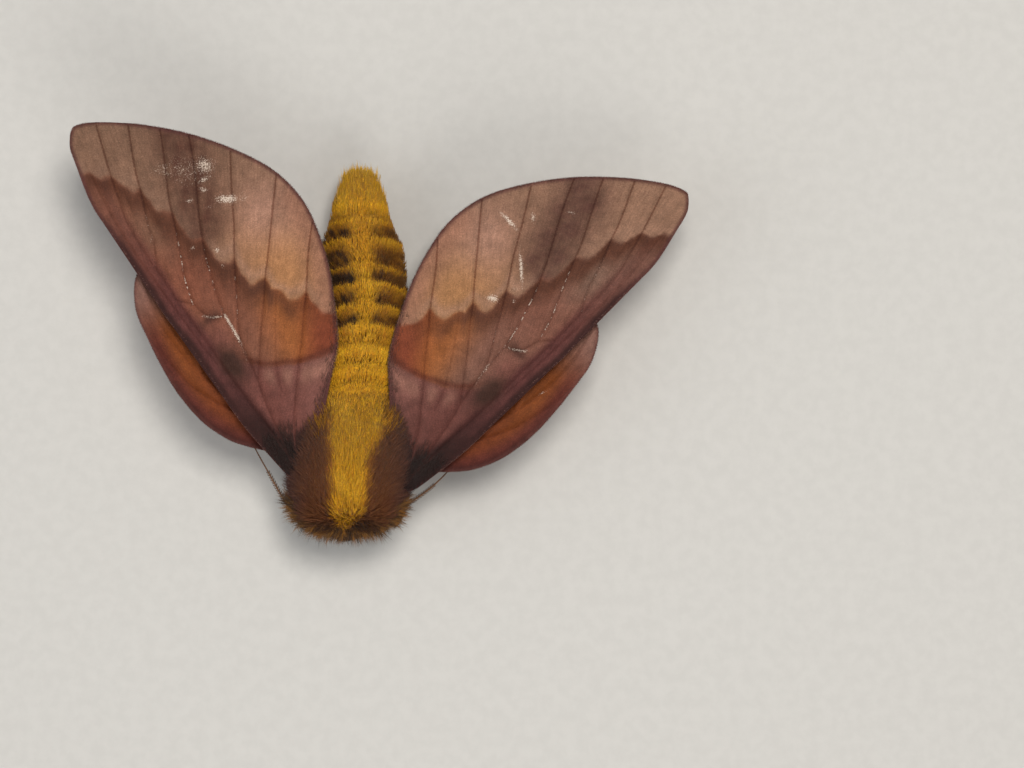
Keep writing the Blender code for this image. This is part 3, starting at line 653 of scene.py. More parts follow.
def body_colour(p, angle, rng=None):
    """Colour of the coat, and of the skin under it, at points of the body."""
    y = p[:, 1]
    across = p[:, 0] - body_section(y)[0] - 0.07 + 0.12 * wave(y * 1.3, seed=3)
    side = np.abs(across)
    up = np.sin(angle)
    band = np.zeros(len(p))
    level = y + FRINGE_BOW * side ** 2 + 0.1 * wave(across * 2.0, y * 0.6, seed=9)
    for at, width, strength, gap in FRINGES:
        past = level - at
        wide = width * (1 + 0.3 * ramp(side, 1.0, 2.2))
        part = ramp(past, -0.15, 0.1) * ramp((wide - past) / wide, -0.15, 0.65)
        part *= ramp(side, gap * 0.4, gap * 1.3 + 0.35)
        band = np.maximum(band, strength * part)
    band *= 1 - 0.3 * ramp(wave(y * 3.1, across * 4.7, seed=11), -0.2, 0.9)
    umber = np.clip(0.1 + 0.35 * ramp(across, -1.0, 1.5) + 0.55 * ramp(1 - band, 0.1, 0.6)
                    + 0.25 * wave(y * 2.0, across * 2.0, seed=13), 0, 1)
    ring = np.clip(np.searchsorted(EDGES, level) - 1, 0, len(EDGES) - 2)
    phase = (level - EDGES[ring]) / (EDGES[ring + 1] - EDGES[ring])
    browner = ramp(side, 0.45, 1.7) * ramp(y, -2.0, 1.2) * ramp(12.0 - y, 0, 2.5)
    browner *= 0.35 + 0.65 * ramp(0.95 - phase, 0, 0.35)
    browner *= 0.85 + 0.2 * wave(y * 2.7, across * 3.3, seed=12)
    stripe = np.interp(y, (-17.35, -17.0, -16.5, -16.0, -15.2, -13.0, -11.5, -10.2, -9.3, -8.0,
                           -7.0, -6.3),
                       (-0.4, 0.15, 0.65, 1.0, 1.32, 1.45, 1.5, 1.85, 2.1, 2.3, 2.5, 4.5))
    flank = ramp(side - stripe + 0.25 * wave(y * 2.3, across * 3.0, seed=7), -0.25, 0.3)
    flank *= ramp(-y, 5.6, 7.0)
    brown = mix(SIDE_HAIR, MAUVE_HAIR, ramp(side, 2.6, 4.4))
    # Painted shade: the coat turns dark brown at the front of the thorax, in the dip where it meets
    # the collar.
    brown = mix(brown, (0.058, 0.025, 0.012), ramp(-y, 16.1, 17.1))
    edge = bell(side, stripe + 0.1, 0.3) * ramp(-y, 6.5, 7.5)
    under = ramp(-up, -0.12, 0.45)
    glow = ramp(y, 4, 9) * ramp(12.5 - y, 0, 2.5)
    colour = layered(
        YELLOW,
        (YELLOW_PALE, 0.55 * ramp(wave(y * 1.7, across * 1.2, seed=5), 0.0, 1.0)),
        (ORANGE_HAIR * 1.35, 0.28 * glow * ramp(1.6 - side, 0, 1.4)),
        (mix(DARK_HAIR, ORANGE_HAIR * 0.5, umber), np.clip(band * 1.2, 0, 1)),
        ((0.235, 0.072, 0.010), 0.95 * np.clip(1 - band, 0, 1) * np.clip(browner, 0, 1)),
        (brown, flank),
        (ORANGE_HAIR, 0.5 * edge),
        (mix(BELLY_HAIR, SIDE_HAIR * 1.2, ramp(-y, 5.0, 8.0)), 0.85 * under))
    if rng is not None:
        colour = colour * rng.normal(1.0, 0.09, len(p))[:, None]
        colour = colour * (1 + rng.normal(0, 0.04, (len(p), 3)))
    return np.clip(colour, DARKEST, 1)


def body_uv(y, angle):
    return np.column_stack([np.mod(angle / math.tau, 1.0) * 0.96 + 0.02, (y + 20) / 40])


def ring_faces(rows, sides):
    """Triangles between neighbouring rings, and the points of one ring with their neighbours."""
    here = np.arange(sides)
    after = (here + 1) % sides
    faces = []
    for start in range(0, (rows - 1) * sides, sides):
        a, b = start + here, start + after
        faces += [np.column_stack([a, a + sides, b + sides]), np.column_stack([a, b + sides, b])]
    return faces, here, after


def fan_faces(a, b, middle):
    """Triangles that close a ring at its middle point."""
    return np.column_stack([a, b, np.full(len(a), middle)])


def make_skin(material):
    """One skin over thorax and abdomen, with the head set into its front."""
    rows, sides = 150, 88
    y = np.linspace(BODY_LINE[0, 0] - 0.4, BODY_LINE[-1, 0] + 0.4, rows)
    angle = np.linspace(0, math.tau, sides, endpoint=False)
    yy, aa = np.repeat(y, sides), np.tile(angle, rows)
    rough = 0.06 * wave(yy * 2.1, np.cos(aa) * 5, np.sin(aa) * 5, seed=21)
    ring = -0.05 * bell(np.mod(yy + 1.1, 2.1), 1.05, 0.25) * (yy > -5)
    points = body_point(yy, aa, rough + ring)
    points[:, 2] = np.maximum(points[:, 2], 0.3)
    colours = body_colour(points, aa) * 0.55
    faces, a, b = ring_faces(rows, sides)
    ends = np.array([points[:sides].mean(axis=0), points[-sides:].mean(axis=0)])
    base = (rows - 1) * sides
    faces += [fan_faces(a, b, len(points)), fan_faces(base + b, base + a, len(points) + 1)]
    uv = np.vstack([body_uv(yy, aa), [[0.5, 0.01], [0.5, 0.99]]])
    points = np.vstack([points, ends])
    colours = np.vstack([colours, colours[:1], colours[-1:]])
    head, head_faces, head_colours, head_uv = ball(HEAD_CENTRE, HEAD_RADII, 40, 28)
    faces.append(head_faces + len(points))
    uv = np.vstack([uv, head_uv])
    return make_mesh("body_skin", np.vstack([points, head]), np.vstack(faces), material,
                     np.vstack([colours, head_colours]), uv)


def ball(centre, radii, around, up):
    theta = np.linspace(0.06, math.pi - 0.06, up)
    phi = np.linspace(0, math.tau, around, endpoint=False)
    tt, pp = np.repeat(theta, around), np.tile(phi, up)
    unit = np.column_stack([np.sin(tt) * np.cos(pp), np.sin(tt) * np.sin(pp), np.cos(tt)])
    bump = 1 + 0.02 * wave(unit[:, 0] * 6, unit[:, 1] * 6, unit[:, 2] * 6, seed=31)
    points = centre + unit * radii * bump[:, None]
    faces, a, b = ring_faces(up, around)
    base, top = (up - 1) * around, len(points)
    faces += [fan_faces(a, b, top), fan_faces(base + b, base + a, top + 1)]
    points = np.vstack([points, centre + (0, 0, radii[2]), centre - (0, 0, radii[2])])
    colours = np.tile(RUFF_HAIR * 0.6, (len(points), 1))
    uv = np.column_stack([np.concatenate([pp / math.tau, [0.5, 0.5]]) * 0.9 + 0.05,
                          np.concatenate([tt / math.pi, [0.0, 1.0]]) * 0.05 + 0.002])
    return points, np.vstack(faces), colours, uv


def body_coat(material):
    """Hair of thorax and abdomen. It lies back, in steps that end at each ring's fringe."""
    rng = np.random.default_rng(5)
    tries = TUFTS["body"]
    y = rng.uniform(-17.45, 13.9, tries)
    angle = rng.uniform(0, math.tau, tries)
    weight = body_section(y)[1] / 4.4 * np.where(np.sin(angle) > -0.35, 1.0, 0.35)
    weight = np.maximum(weight, np.where(np.sin(angle) > -0.35, 0.4, 0.24))
    pick = rng.uniform(0, 1, tries) < weight * COAT_SHARE
    y, angle = y[pick], angle[pick]
    p, back, around, normal = body_frame(y, angle)
    count = len(y)
    up, lateral = np.sin(angle), np.cos(angle)
    side = np.abs(p[:, 0] - body_section(y)[0])
    belly = y > -6.2
    swirl = 0.16 * wave(y * 0.9, angle * 2.2, seed=41) + rng.normal(0, 0.12, count)
    outward = np.where(lateral > 0, -1.0, 1.0) * np.where(up > -0.2, 1, 0)
    turn = swirl + outward * np.where(belly, 0.12, 0.3) * np.abs(lateral)
    stand = 0.5 * ramp(-y, 15.4, 17.2)
    lie = (back * (np.cos(turn) * (1 - stand))[:, None] + around * np.sin(turn)[:, None]
           + normal * (1.1 * stand)[:, None])
    coat = np.where(belly, 0.82, 0.9)
    length = 2.1 * rng.uniform(0.7, 1.12, count) * (1 - 0.6 * stand)
    lift = coat * rng.uniform(0.7, 1.08, count) * (1 - 0.85 * stand)
    level = y + FRINGE_BOW * side ** 2
    behind = np.clip(np.searchsorted(EDGES, level) - 1, 0, len(EDGES) - 2)
    past = level - EDGES[behind]
    ahead_of = EDGES[behind + 1] - level
    short = belly & (past < EDGE_WIDTHS[behind] * 0.8) & (up > -0.4) & (level < 10.9)
    fringe = np.clip(ahead_of + rng.uniform(-0.15, 0.6, count), 0.75, 2.2)
    fringe = np.where(level > 10.7, rng.uniform(1.2, 2.1, count), fringe)
    fringe = np.minimum(fringe, np.clip(15.0 - y + rng.normal(0, 0.2, count), 0.6, 3.0))
    length = np.where(belly, np.where(short, rng.uniform(0.7, 1.2, count), fringe), length)
    lift = np.where(short, lift * rng.uniform(0.75, 1.0, count), lift)
    flank = ramp(np.abs(lateral), 0.45, 0.9)
    lift *= 1 + flank * (np.interp(y, (2.0, 5.0, 7.2, 8.6, 10.0, 11.0, 12.5, 14.0),
                                   (1.0, 1.15, 1.35, 1.1, 0.75, 0.6, 0.4, 0.2)) - 1)
    lift = lift * np.where(belly & ~short, 0.88 + 0.14 * np.clip(1 - ahead_of / 1.6, 0, 1), 1.0)
    length = np.where(up < -0.3, length * 0.7, length)
    lift = lift / length
    lift = np.where(up < -0.5, lift * 0.45, lift)
    tail = ramp(y, 11.0, 13.6)
    inward = np.column_stack([-0.07 * (p[:, 0] - body_section(y)[0]), np.ones(count),
                              -0.12 * (p[:, 2] - body_section(y)[3])])
    lie = normed(lie * (1 - 0.8 * tail)[:, None] + inward * (0.8 * tail)[:, None])
    lift *= 1 - 0.35 * tail
    middle = p + lie * (length * 0.5 * (1 - stand))[:, None]
    colour = body_colour(np.column_stack([middle[:, 0], middle[:, 1], p[:, 2]]), angle, rng)
    wing_level = (p[:, 2] > 7.4) & (p[:, 2] < 8.9) & (np.abs(lateral) > 0.6) & (y > -13.2)
    lift = np.where(wing_level & (y < -6.0), lift * 0.55, lift)
    width = np.where(belly, 0.098, 0.094) * rng.uniform(0.75, 1.25, count)
    tufts("coat_body", p - normal * 0.08, lie, normal, length, width, lift, colour,
          body_uv(y, angle), material, rng, curl=0.09, root_shade=(0.68, 0.52, 0.42),
          keep=above_floor)
    count = TUFTS["nape"]
    y = rng.uniform(-17.45, -14.6, count)
    angle = math.pi / 2 + rng.uniform(-1.35, 1.35, count)
    p, back, around, normal = body_frame(y, angle)
    lie = normal + back * (0.75 - 0.3 * ramp(-y, 15.4, 17.2))[:, None]
    lie += rng.normal(0, 0.16, (count, 3))
    lie = normed(lie)
    colour = body_colour(p + back * 0.3, angle, rng)
    across = np.cross(lie, around)
    tufts("coat_nape", p - normal * 0.08, lie, -normed(across),
          rng.uniform(0.65, 1.0, count), 0.085 * rng.uniform(0.75, 1.25, count),
          rng.uniform(0.0, 0.1, count), colour, body_uv(y, angle), material, rng, curl=0.09,
          root_shade=(0.74, 0.6, 0.5))
    count = TUFTS["tail"]
    y = 14.6 - rng.uniform(0, 1, count) ** 1.3 * 3.6
    angle = rng.uniform(0, math.tau, count)
    p, back, around, normal = body_frame(y, angle)
    capped = np.arange(count) < TUFTS["tail_end"]
    hub = np.column_stack([body_section(y)[0], y, body_section(y)[3]])
    y = np.where(capped, 14.5, y)
    p = np.where(capped[:, None], hub + (p - hub) * rng.uniform(0.05, 0.9, count)[:, None], p)
    p[capped, 1] = 14.6
    lie = np.column_stack([-0.08 * (p[:, 0] - body_section(y)[0]), np.ones(count),
                           -0.06 * (p[:, 2] - body_section(y)[3])])
    lie += normal * rng.uniform(-0.1, 0.13, count)[:, None]
    lie += rng.normal(0, 0.06, (count, 3))
    lie = normed(lie)
    length = np.clip(15.0 - y + rng.normal(0, 0.4, count), 0.3, 2.3)
    colour = mix(YELLOW, YELLOW_PALE, rng.uniform(0, 1, count))
    colour = mix(colour, ORANGE_HAIR, 0.5 * rng.uniform(0, 1, count) * ramp(13.8 - y, 0, 2.0))
    colour *= rng.normal(0.98, 0.1, count)[:, None]
    tufts("coat_tail", p - normal * 0.1, lie, normal, length,
          0.065 * rng.uniform(0.7, 1.3, count), rng.uniform(0.0, 0.12, count),
          colour, body_uv(y, angle), material, rng, curl=0.07, keep=above_floor)


def collar_coat(material):
    """The shaggy collar: pointed locks from the hood's edge, ahead and out to the sides."""
    rng = np.random.default_rng(6)
    for layer, (locks, each, low, high, reach, bright) in enumerate((
            (330, 9, 4.9, 6.4, 0.95, 0.15), (300, 7, 6.0, 7.1, 1.02, 0.5),
            (360, 6, 7.2, 8.5, 0.8, 0.72))):
        count = locks * each
        turn = np.linspace(-1.75, 1.75, locks) + rng.normal(0, 0.05, locks)
        root = np.column_stack([-3.22 + 3.45 * np.sin(turn * 0.92), -15.6 - 1.2 * np.cos(turn),
                                rng.uniform(low, high, locks)])
        if layer == 2:
            out = 4.75 * np.sin(turn * 0.88)
            root = np.column_stack([-3.2 + out, np.interp(np.abs(out), (0, 2, 3.9, 4.8),
                                                          (-17.15, -16.95, -16.3, -15.0)),
                                    low + (high - low) * np.cos(turn * 0.88)])
            root[:, 1] += rng.uniform(-0.25, 0.45, locks) * ramp(np.abs(out), 0.3, 1.2)
        fan = 1.2 * turn + 0.4 * np.tanh(3 * turn) + rng.normal(0, 0.45, locks)
        size = np.interp(np.abs(turn), (0, 0.8, 1.3, 1.8), (2.2, 2.4, 2.25, 1.85)) * reach
        size *= rng.uniform(0.62, 1.16, locks)
        aim = np.column_stack([np.sin(fan), -np.cos(fan),
                               rng.normal(-0.28 if layer == 2 else 0.0, 0.17, locks)])
        tip = root + aim * size[:, None]
        own = np.repeat(np.arange(locks), each)
        start = root[own] + rng.normal(0, 1, (count, 3)) * (0.12, 0.1, 0.12)
        end = tip[own] + rng.normal(0, 1, (count, 3)) * (0.08, 0.08, 0.07)
        end -= aim[own] * (size[own] * rng.uniform(0, 0.5, count) ** 2)[:, None]
        lie = end - start
        length = np.linalg.norm(lie, axis=1)
        lie /= length[:, None]
        normal = normed(np.array((0.0, 0.0, 1.0)) - lie * lie[:, 2:])
        shine = np.clip(bright + rng.choice((-0.5, 0.4), locks)[own] + rng.normal(0, 0.15, count),
                        0.03, 1.2)
        colour = mix(RUFF_HAIR, ORANGE_HAIR * 0.7, np.repeat(rng.uniform(0, 0.7, locks), each))
        colour = mix(DARK_HAIR * 1.4, colour, shine)
        colour *= rng.normal(1, 0.14, count)[:, None]
        uv = np.column_stack([0.25 + turn[own] * 0.09, 0.04 + 0.05 * (start[:, 2] - 4.9) / 2.8])
        swept = rng.choice((-1.0, 1.0), locks, p=(0.35, 0.65)) * np.sign(turn)
        tufts(f"coat_collar_{layer + 1}", start, lie, normal, length,
              0.055 * rng.uniform(0.75, 1.3, count), rng.uniform(0.1, 0.25, count),
              colour, uv, material, rng, curl=0.05, root_shade=0.55,
              sweep=(swept * rng.uniform(0.05, 0.4, locks))[own])


def head_coat(material):
    rng = np.random.default_rng(8)
    count = TUFTS["head"]
    unit = normed(rng.normal(0, 1, (count, 3)))
    keep = (np.abs(unit[:, 0]) < 0.93) & (unit[:, 1] < 0.75)
    unit = unit[keep]
    count = len(unit)
    p = HEAD_CENTRE + unit * HEAD_RADII
    normal = normed(unit / HEAD_RADII)
    down = np.tile((0.0, -0.35, -1.0), (count, 1)) + unit * (0.25, 0, 0)
    lie = down - normal * (down * normal).sum(axis=1)[:, None]
    lie /= np.maximum(np.linalg.norm(lie, axis=1), 0.1)[:, None]
    length = rng.uniform(0.45, 0.8, count)
    lift = rng.uniform(0.15, 0.4, count)
    colour = mix(RUFF_HAIR * 0.36, MAUVE_HAIR * 0.7, rng.uniform(0, 0.8, count))
    colour *= rng.normal(1, 0.15, count)[:, None]
    uv = np.column_stack([np.arctan2(unit[:, 1], unit[:, 0]) / math.tau * 0.9 + 0.5,
                          np.arccos(unit[:, 2]) / math.pi * 0.05 + 0.002])
    tufts("coat_head", p - normal * 0.05, lie, normal, length,
          0.1 * rng.uniform(0.7, 1.2, count), lift, colour, uv, material, rng)


def wing_net(outline, veins, step):
    """Fine triangles of a flat wing, with points along each vein."""
    margin = resample(smooth_line(outline, closed=True), step, closed=True)
    crests = [resample(smooth_line(v), step) for v in veins.values()]
    crests = [c[inside(c, margin) & (distance_to(c, margin, True)[0] > 0.12)] for c in crests]
    points = [margin]
    for crest in crests:
        tangent = normed(np.gradient(crest, axis=0))
        across = np.column_stack([-tangent[:, 1], tangent[:, 0]])
        for off in (0.0, 0.14, -0.14, VEIN_HALF, -VEIN_HALF):
            points.append(crest + across * off)
    low, high = margin.min(axis=0), margin.max(axis=0)
    gs, gw = np.meshgrid(np.arange(low[0], high[0], step), np.arange(low[1], high[1], step * 0.87))
    gs = gs + (np.arange(len(gs)) % 2)[:, None] * step / 2
    rng = np.random.default_rng(17)
    grid = np.column_stack([gs.ravel(), gw.ravel()]) + rng.normal(0, 0.02, (gs.size, 2))
    loose = np.vstack(points[1:] + [grid])
    near = distance_to(loose, margin, True)[0]
    loose = loose[inside(loose, margin) & (near > step * 0.4)]
    cell = np.round(loose / (step * 0.45)).astype(int)
    _, first = np.unique(cell, axis=0, return_index=True)
    loose = loose[np.sort(first)]
    count = len(margin)
    flat = [Vector(p) for p in np.vstack([margin, loose])]
    edges = [(i, (i + 1) % count) for i in range(count)]
    made = delaunay_2d_cdt(flat, edges, [list(range(count))], 1, 1e-5, False)
    net = np.array([tuple(v) for v in made[0]])
    faces = np.array([tuple(f) for f in made[2]])
    return net, faces, margin, crests


def wing_fields(net, margin, crests):
    vein = np.full(len(net), 9.0)
    which = np.zeros(len(net), int)
    for k, crest in enumerate(crests):
        gap, _ = distance_to(net, crest)
        which[gap < vein] = k
        vein = np.minimum(vein, gap)
    return vein, which, distance_to(net, margin, True)[0]


def add_shiny_scuffs(rub_shine, s, w, patches):
    """Adds rubbed patches, each a soft oval, to the share painted pale for worn scales and a
    painted shine.
    """
    for at_s, at_w, turn, long, wide, strength in patches:
        c, n = math.cos(math.radians(turn)), math.sin(math.radians(turn))
        along = (s - at_s) * c + (w - at_w) * n
        across = (w - at_w) * c - (s - at_s) * n
        rub_shine = np.maximum(rub_shine, strength * bell(along, 0, long) * bell(across, 0, wide))
    return rub_shine


def fore_colours(s, w, vein, which, rim, side):
    """Zone colours of the forewing's upper side."""
    p = np.column_stack([s, w])
    uneven = wave(s * 0.8, w * 1.1, seed=51 + side)
    fine = wave(s * 2.6, w * 2.9, seed=54 + side)
    gap, sign = distance_to(p, smooth_line(OUTER_LINE))
    outer = gap * sign * -1
    if outer[np.argmax(s)] < 0:
        outer = -outer
    tooth = (0.7 + 0.5 * ramp(w, 5.5, 8.5)) * np.exp(-(vein / 0.75) ** 1.5) * ramp(s + w, 12, 22)
    outer = outer - tooth + 0.25 + 0.12 * fine
    gap, sign = distance_to(p, smooth_line(INNER_LINE))
    inner = gap * sign
    if inner[np.argmax(s)] < 0:
        inner = -inner
    costa = distance_to(p, smooth_line(FOREWING[:15]))[0]
    rear = distance_to(p, smooth_line(FOREWING[20:29]))[0]
    inner_side = ramp(w - 0.28 * s, 0.6, 4.9)

    base = mix((0.144, 0.053, 0.040), (0.176, 0.071, 0.054), 0.9 * inner_side)
    base = base * (0.92 if side > 0 else 1.04)
    median = layered(
        (0.200, 0.082, 0.047),
        ((0.196, 0.070, 0.039), bell(s - 0.3 * w, 20, 6)),
        ((0.295, 0.100, 0.028), inner_side),
        ((0.205, 0.112, 0.068), 0.7 * bell(s, 26, 3) * bell(w, 3.2, 1.6)),
        ((0.176, 0.042, 0.019), 0.95 * ramp(4.4 - rear, 0, 3.2)))
    if side > 0:
        median = median * mix((0.95, 1.12, 1.28), (1, 1, 1), inner_side)
    far = (30.2, 9.2) if side > 0 else (32.0, 10.6)
    reach = distance_to(p, np.array((far, (22.3, 6.8))))[0]
    dusky = np.clip(1.2 * bell(reach, 0, 2.4) * ramp(s, 20.0, 23.0), 0, 1)
    dusk = (0.084, 0.037, 0.026) if side > 0 else (0.084, 0.035, 0.022)
    warm = bell(s, 16.5, 5.2) * bell(w, 10.4, 3.4)
    ochre = (0.350, 0.172, 0.066) if side > 0 else (0.400, 0.192, 0.076)
    field = layered(
        (0.200, 0.112, 0.068),
        (ochre, 0.95 * warm),
        ((0.370, 0.205, 0.140), 0.75 * bell(s, 21.0, 3.2) * bell(w, 12.0, 3.2)),
        ((0.300, 0.140, 0.085), 0.6 * ramp(3.0 - rear, 0, 2.5)),
        (dusk, np.clip(0.88 * dusky * (0.9 + 0.2 * fine), 0, 1)))
    if side > 0:
        field = field * (1 + 0.36 * ramp(s, 23.0, 29.0) * (1 - 0.8 * dusky))[:, None]

    # Shares of the markings: lines, bands, cell spots, and the dark haze at the base.
    depth = np.where(outer < 0, -outer, 0)
    strength = 0.95 - 0.45 * ramp(w, 7.5, 10.5)
    band = ramp(outer, 0.25, -0.2) * np.exp(-(np.clip(depth - 0.55, 0, None) / 1.2) ** 2)
    shade = mix((0.092, 0.034, 0.018), (0.150, 0.045, 0.014), ramp(w, 7.5, 11.5))
    pale = bell(outer, 0.75, 0.55) * (1 - 0.8 * dusky) * ramp(s, 10, 14)
    line = bell(inner + 0.06 * fine, 0.32, 0.34) * ramp(w, 1.6, 3.2)
    glow = bell(inner, -0.95, 0.8) * ramp(w, 2.4, 4.0) * ramp(vein, 0.1, 0.75)
    within = bell(s, 14.2, 1.9) * bell(w, 1.8, 1.3)
    strip = ramp(2.45 - costa, 0, 0.9) * ramp(34.5 - s, 0, 9.0) * (1 - 0.4 * ramp(s, 18, 27))
    cell = np.clip(1.35 * bell(s, 11.9, 1.8) * bell(w, 1.5, 1.05), 0, 1)
    spot = bell(s, 16.3, 0.5) * bell(w, 2.4, 1.1)
    haze = ramp(7.0 - np.hypot(s, 1.5 * w), 0, 5.6)
    outside = layered(
        median,
        (field, ramp(outer, -0.15, 0.3)),
        (shade, np.clip(strength * band * ramp(s, 8.5, 11.5), 0, 1)),
        ((0.35, 0.205, 0.140), (0.38 - 0.25 * ramp(s, 20, 26)) * pale))
    colour = layered(
        base,
        (outside, ramp(inner + 0.1 * fine, -0.1, 0.25)),
        ((0.090, 0.022, 0.012), 0.8 * line),
        ((0.30, 0.145, 0.100), (0.75 if side < 0 else 0.6) * glow),
        ((0.185, 0.068, 0.050), 0.75 * within),
        ((0.098, 0.033, 0.028), 0.95 * strip),
        ((0.026, 0.011, 0.009), 0.95 * strip * ramp(13.5 - s, 0, 9.0)),
        ((0.045, 0.021, 0.014), 0.93 * cell),
        ((0.055, 0.023, 0.016), 0.85 * spot),
        ((0.030, 0.013, 0.010), 0.9 * haze),
        ((0.085, 0.030, 0.026), 0.85 * ramp(0.42 - rim, 0, 0.3)),
        ((0.030, 0.011, 0.009), 0.85 * ramp(0.75 - costa, 0, 0.5) * ramp(31.0 - s, 0, 6.0)))
    colour = colour * (1 + 0.07 * uneven + 0.05 * fine)[:, None]
    veindark = 0.55 + 0.35 * ramp(outer, -0.2, 0.6) * ramp(s, 10, 14) + 0.25 * band
    veindark *= ramp(costa, 1.0, 2.0) * (1 - 0.7 * haze)
    veindark *= np.array([0.5 if key == "fold" else 1.0 for key in FORE_VEINS])[which]
    # Worn vein crests and rubbed lines and patches, painted pale in the wing's material: partly
    # real wear, partly a painted shine.
    worn_shine = np.array([RUBBED_SHINE.get(key, 0.0) for key in FORE_VEINS])[which]
    crest = worn_shine * ramp(outer, 0.3, -1.2) * ramp(s, 12, 16) * (w < 9.5)
    stem = distance_to(p, smooth_line(((10.2, 2.2), (12.0, 3.0), (13.8, 3.4), (15.8, 3.65))))[0]
    stub = distance_to(p, smooth_line(((15.9, 3.3), (16.35, 2.6), (16.9, 2.0))))[0]
    bared_shine = (0.4 + 0.6 * ramp(s, 12.0, 14.0) if side < 0
             else 0.42 + 0.4 * bell(s, 13.2, 0.5) + 0.15 * wave(s * 3.0, seed=57))
    rub_shine = np.maximum(bell(stem, 0, 0.2) * ramp(s, 9.8, 11.5) * bared_shine, 0.8 * bell(stub, 0, 0.16))
    rub_shine = add_shiny_scuffs(rub_shine, s, w, SHINY_SCUFFS[side])
    return colour * WING_TONE, np.clip(veindark, 0, 1), np.clip(crest, 0, 1), np.clip(rub_shine, 0, 1)


def hind_colours(s, w, vein, which, rim, side):
    p = np.column_stack([s, w])
    costa = distance_to(p, smooth_line(HINDWING[:13]))[0]
    fine = wave(s * 2.2, w * 2.4, seed=62 + side)
    front = ramp(1.9 - costa, 0, 1.4) * ramp(20.5 - s, 0, 5)
    colour = layered(
        (0.205, 0.052, 0.017),
        ((0.245, 0.070, 0.018), ramp(s, 6, 14)),
        ((0.29, 0.150, 0.108), ramp(s, 15.5, 20.5)),
        # Dark front strip and costal edge of the hindwing: partly its own colour, partly painted
        # shade.
        ((0.125, 0.032, 0.024), 0.9 * front),
        ((0.036, 0.010, 0.008), 0.85 * ramp(0.8 - costa, 0, 0.7) * ramp(17.0 - s, 0, 8.0)),
        ((0.11, 0.032, 0.02), 0.4 * ramp(6 - s, 0, 5)),
        ((0.150, 0.055, 0.045), 0.6 * ramp(0.35 - rim, 0, 0.25)))
    # Painted light: inward of its front strip, where it lies under the forewing, the hindwing is
    # painted up to 1.7 times lighter against the forewing's shade.
    colour = colour * ((1 + 0.06 * fine) * HIND_TONE * (1 + 0.7 * ramp(w, 0.8, 4.0)))[:, None]
    none = np.zeros(len(p))
    return colour, np.clip(0.3 + 0.1 * fine, 0, 1), none, add_shiny_scuffs(none, s, w, HIND_SHINY_SCUFFS[side])


def under_colours(colour):
    """The underside: the same zones, softer and pinker."""
    return mix(colour * 1.1, (0.27, 0.125, 0.090), 0.5)


def make_wing(name, outline, veins, place, paint, pose, material, step):
    net, faces, margin, crests = wing_net(outline, veins, step)
    vein, which, rim = wing_fields(net, margin, crests)
    s, w = net[:, 0], net[:, 1]
    colour, veindark, crest, rub_shine = paint(s, w, vein, which, rim, pose["side"])
    height = np.array([-0.35 if key == "fold" else 1.0 for key in veins])[which] * VEIN_HIGH
    ridge = height * np.clip(1 - vein / VEIN_HALF, 0, 1) ** 1.3 * np.clip(rim / 0.8, 0, 1)
    pleat = 0.05 * wave(s * 0.5, w * 0.7, seed=71) * np.clip(rim / 2.0, 0, 1)
    swell = 0.15 * np.clip(vein / 1.2, 0, 1) * np.clip(rim / 1.5, 0, 1)
    thin = WING_THICK * (0.45 + 0.55 * np.clip(rim / 0.5, 0, 1))
    top = place(pose, s, w, thin / 2 + ridge + pleat - swell)
    low = place(pose, s, w, -thin / 2 - 0.4 * ridge + pleat - swell)
    count = len(net)
    used = set()
    for a, b, c in faces.tolist():
        used.update(((a, b), (b, c), (c, a)))
    rim_edges = [(a, b) for a, b in used if (b, a) not in used]
    a = np.array([e[0] for e in rim_edges])
    b = np.array([e[1] for e in rim_edges])
    test = place(pose, net[faces[0], 0], net[faces[0], 1], np.zeros(3))
    turned = np.cross(test[1] - test[0], test[2] - test[0])[2] < 0
    up = faces[:, ::-1] if turned else faces
    sides = np.vstack([np.column_stack([b, a, a + count]),
                       np.column_stack([b, a + count, b + count])])
    if turned:
        sides = sides[:, ::-1]
    solid = np.vstack([up, up[:, ::-1] + count, sides])
    under = under_colours(colour)
    fan = np.column_stack([np.hypot(s, w + 6), 25 * np.arctan2(w + 6, s), np.zeros(count)])
    floats = {"vein": np.tile(vein, 2), "veindark": np.tile(veindark, 2),
              "fan": np.tile(fan, (2, 1)), "rub_shine": np.concatenate([rub_shine, rub_shine * 0]),
              "crest": np.concatenate([crest, crest * 0])}
    uv = np.vstack([net * (0.024, 0.026) + (0.05, 0.12), net * (0.024, 0.026) + (0.05, 0.60)])
    obj = make_mesh(name, np.vstack([top, low]), solid, material,
                    np.clip(np.vstack([colour, under]), 0, 1), uv, floats)
    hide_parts(name.replace("wing_skin", "wing"))
    return margin


def edge_out(line, margin):
    """Flat directions that point away from the wing at points of its edge."""
    tangent = normed(np.gradient(line, axis=0))
    outward = np.column_stack([tangent[:, 1], -tangent[:, 0]])
    outward[inside(line + outward * 0.3, margin)] *= -1
    return outward


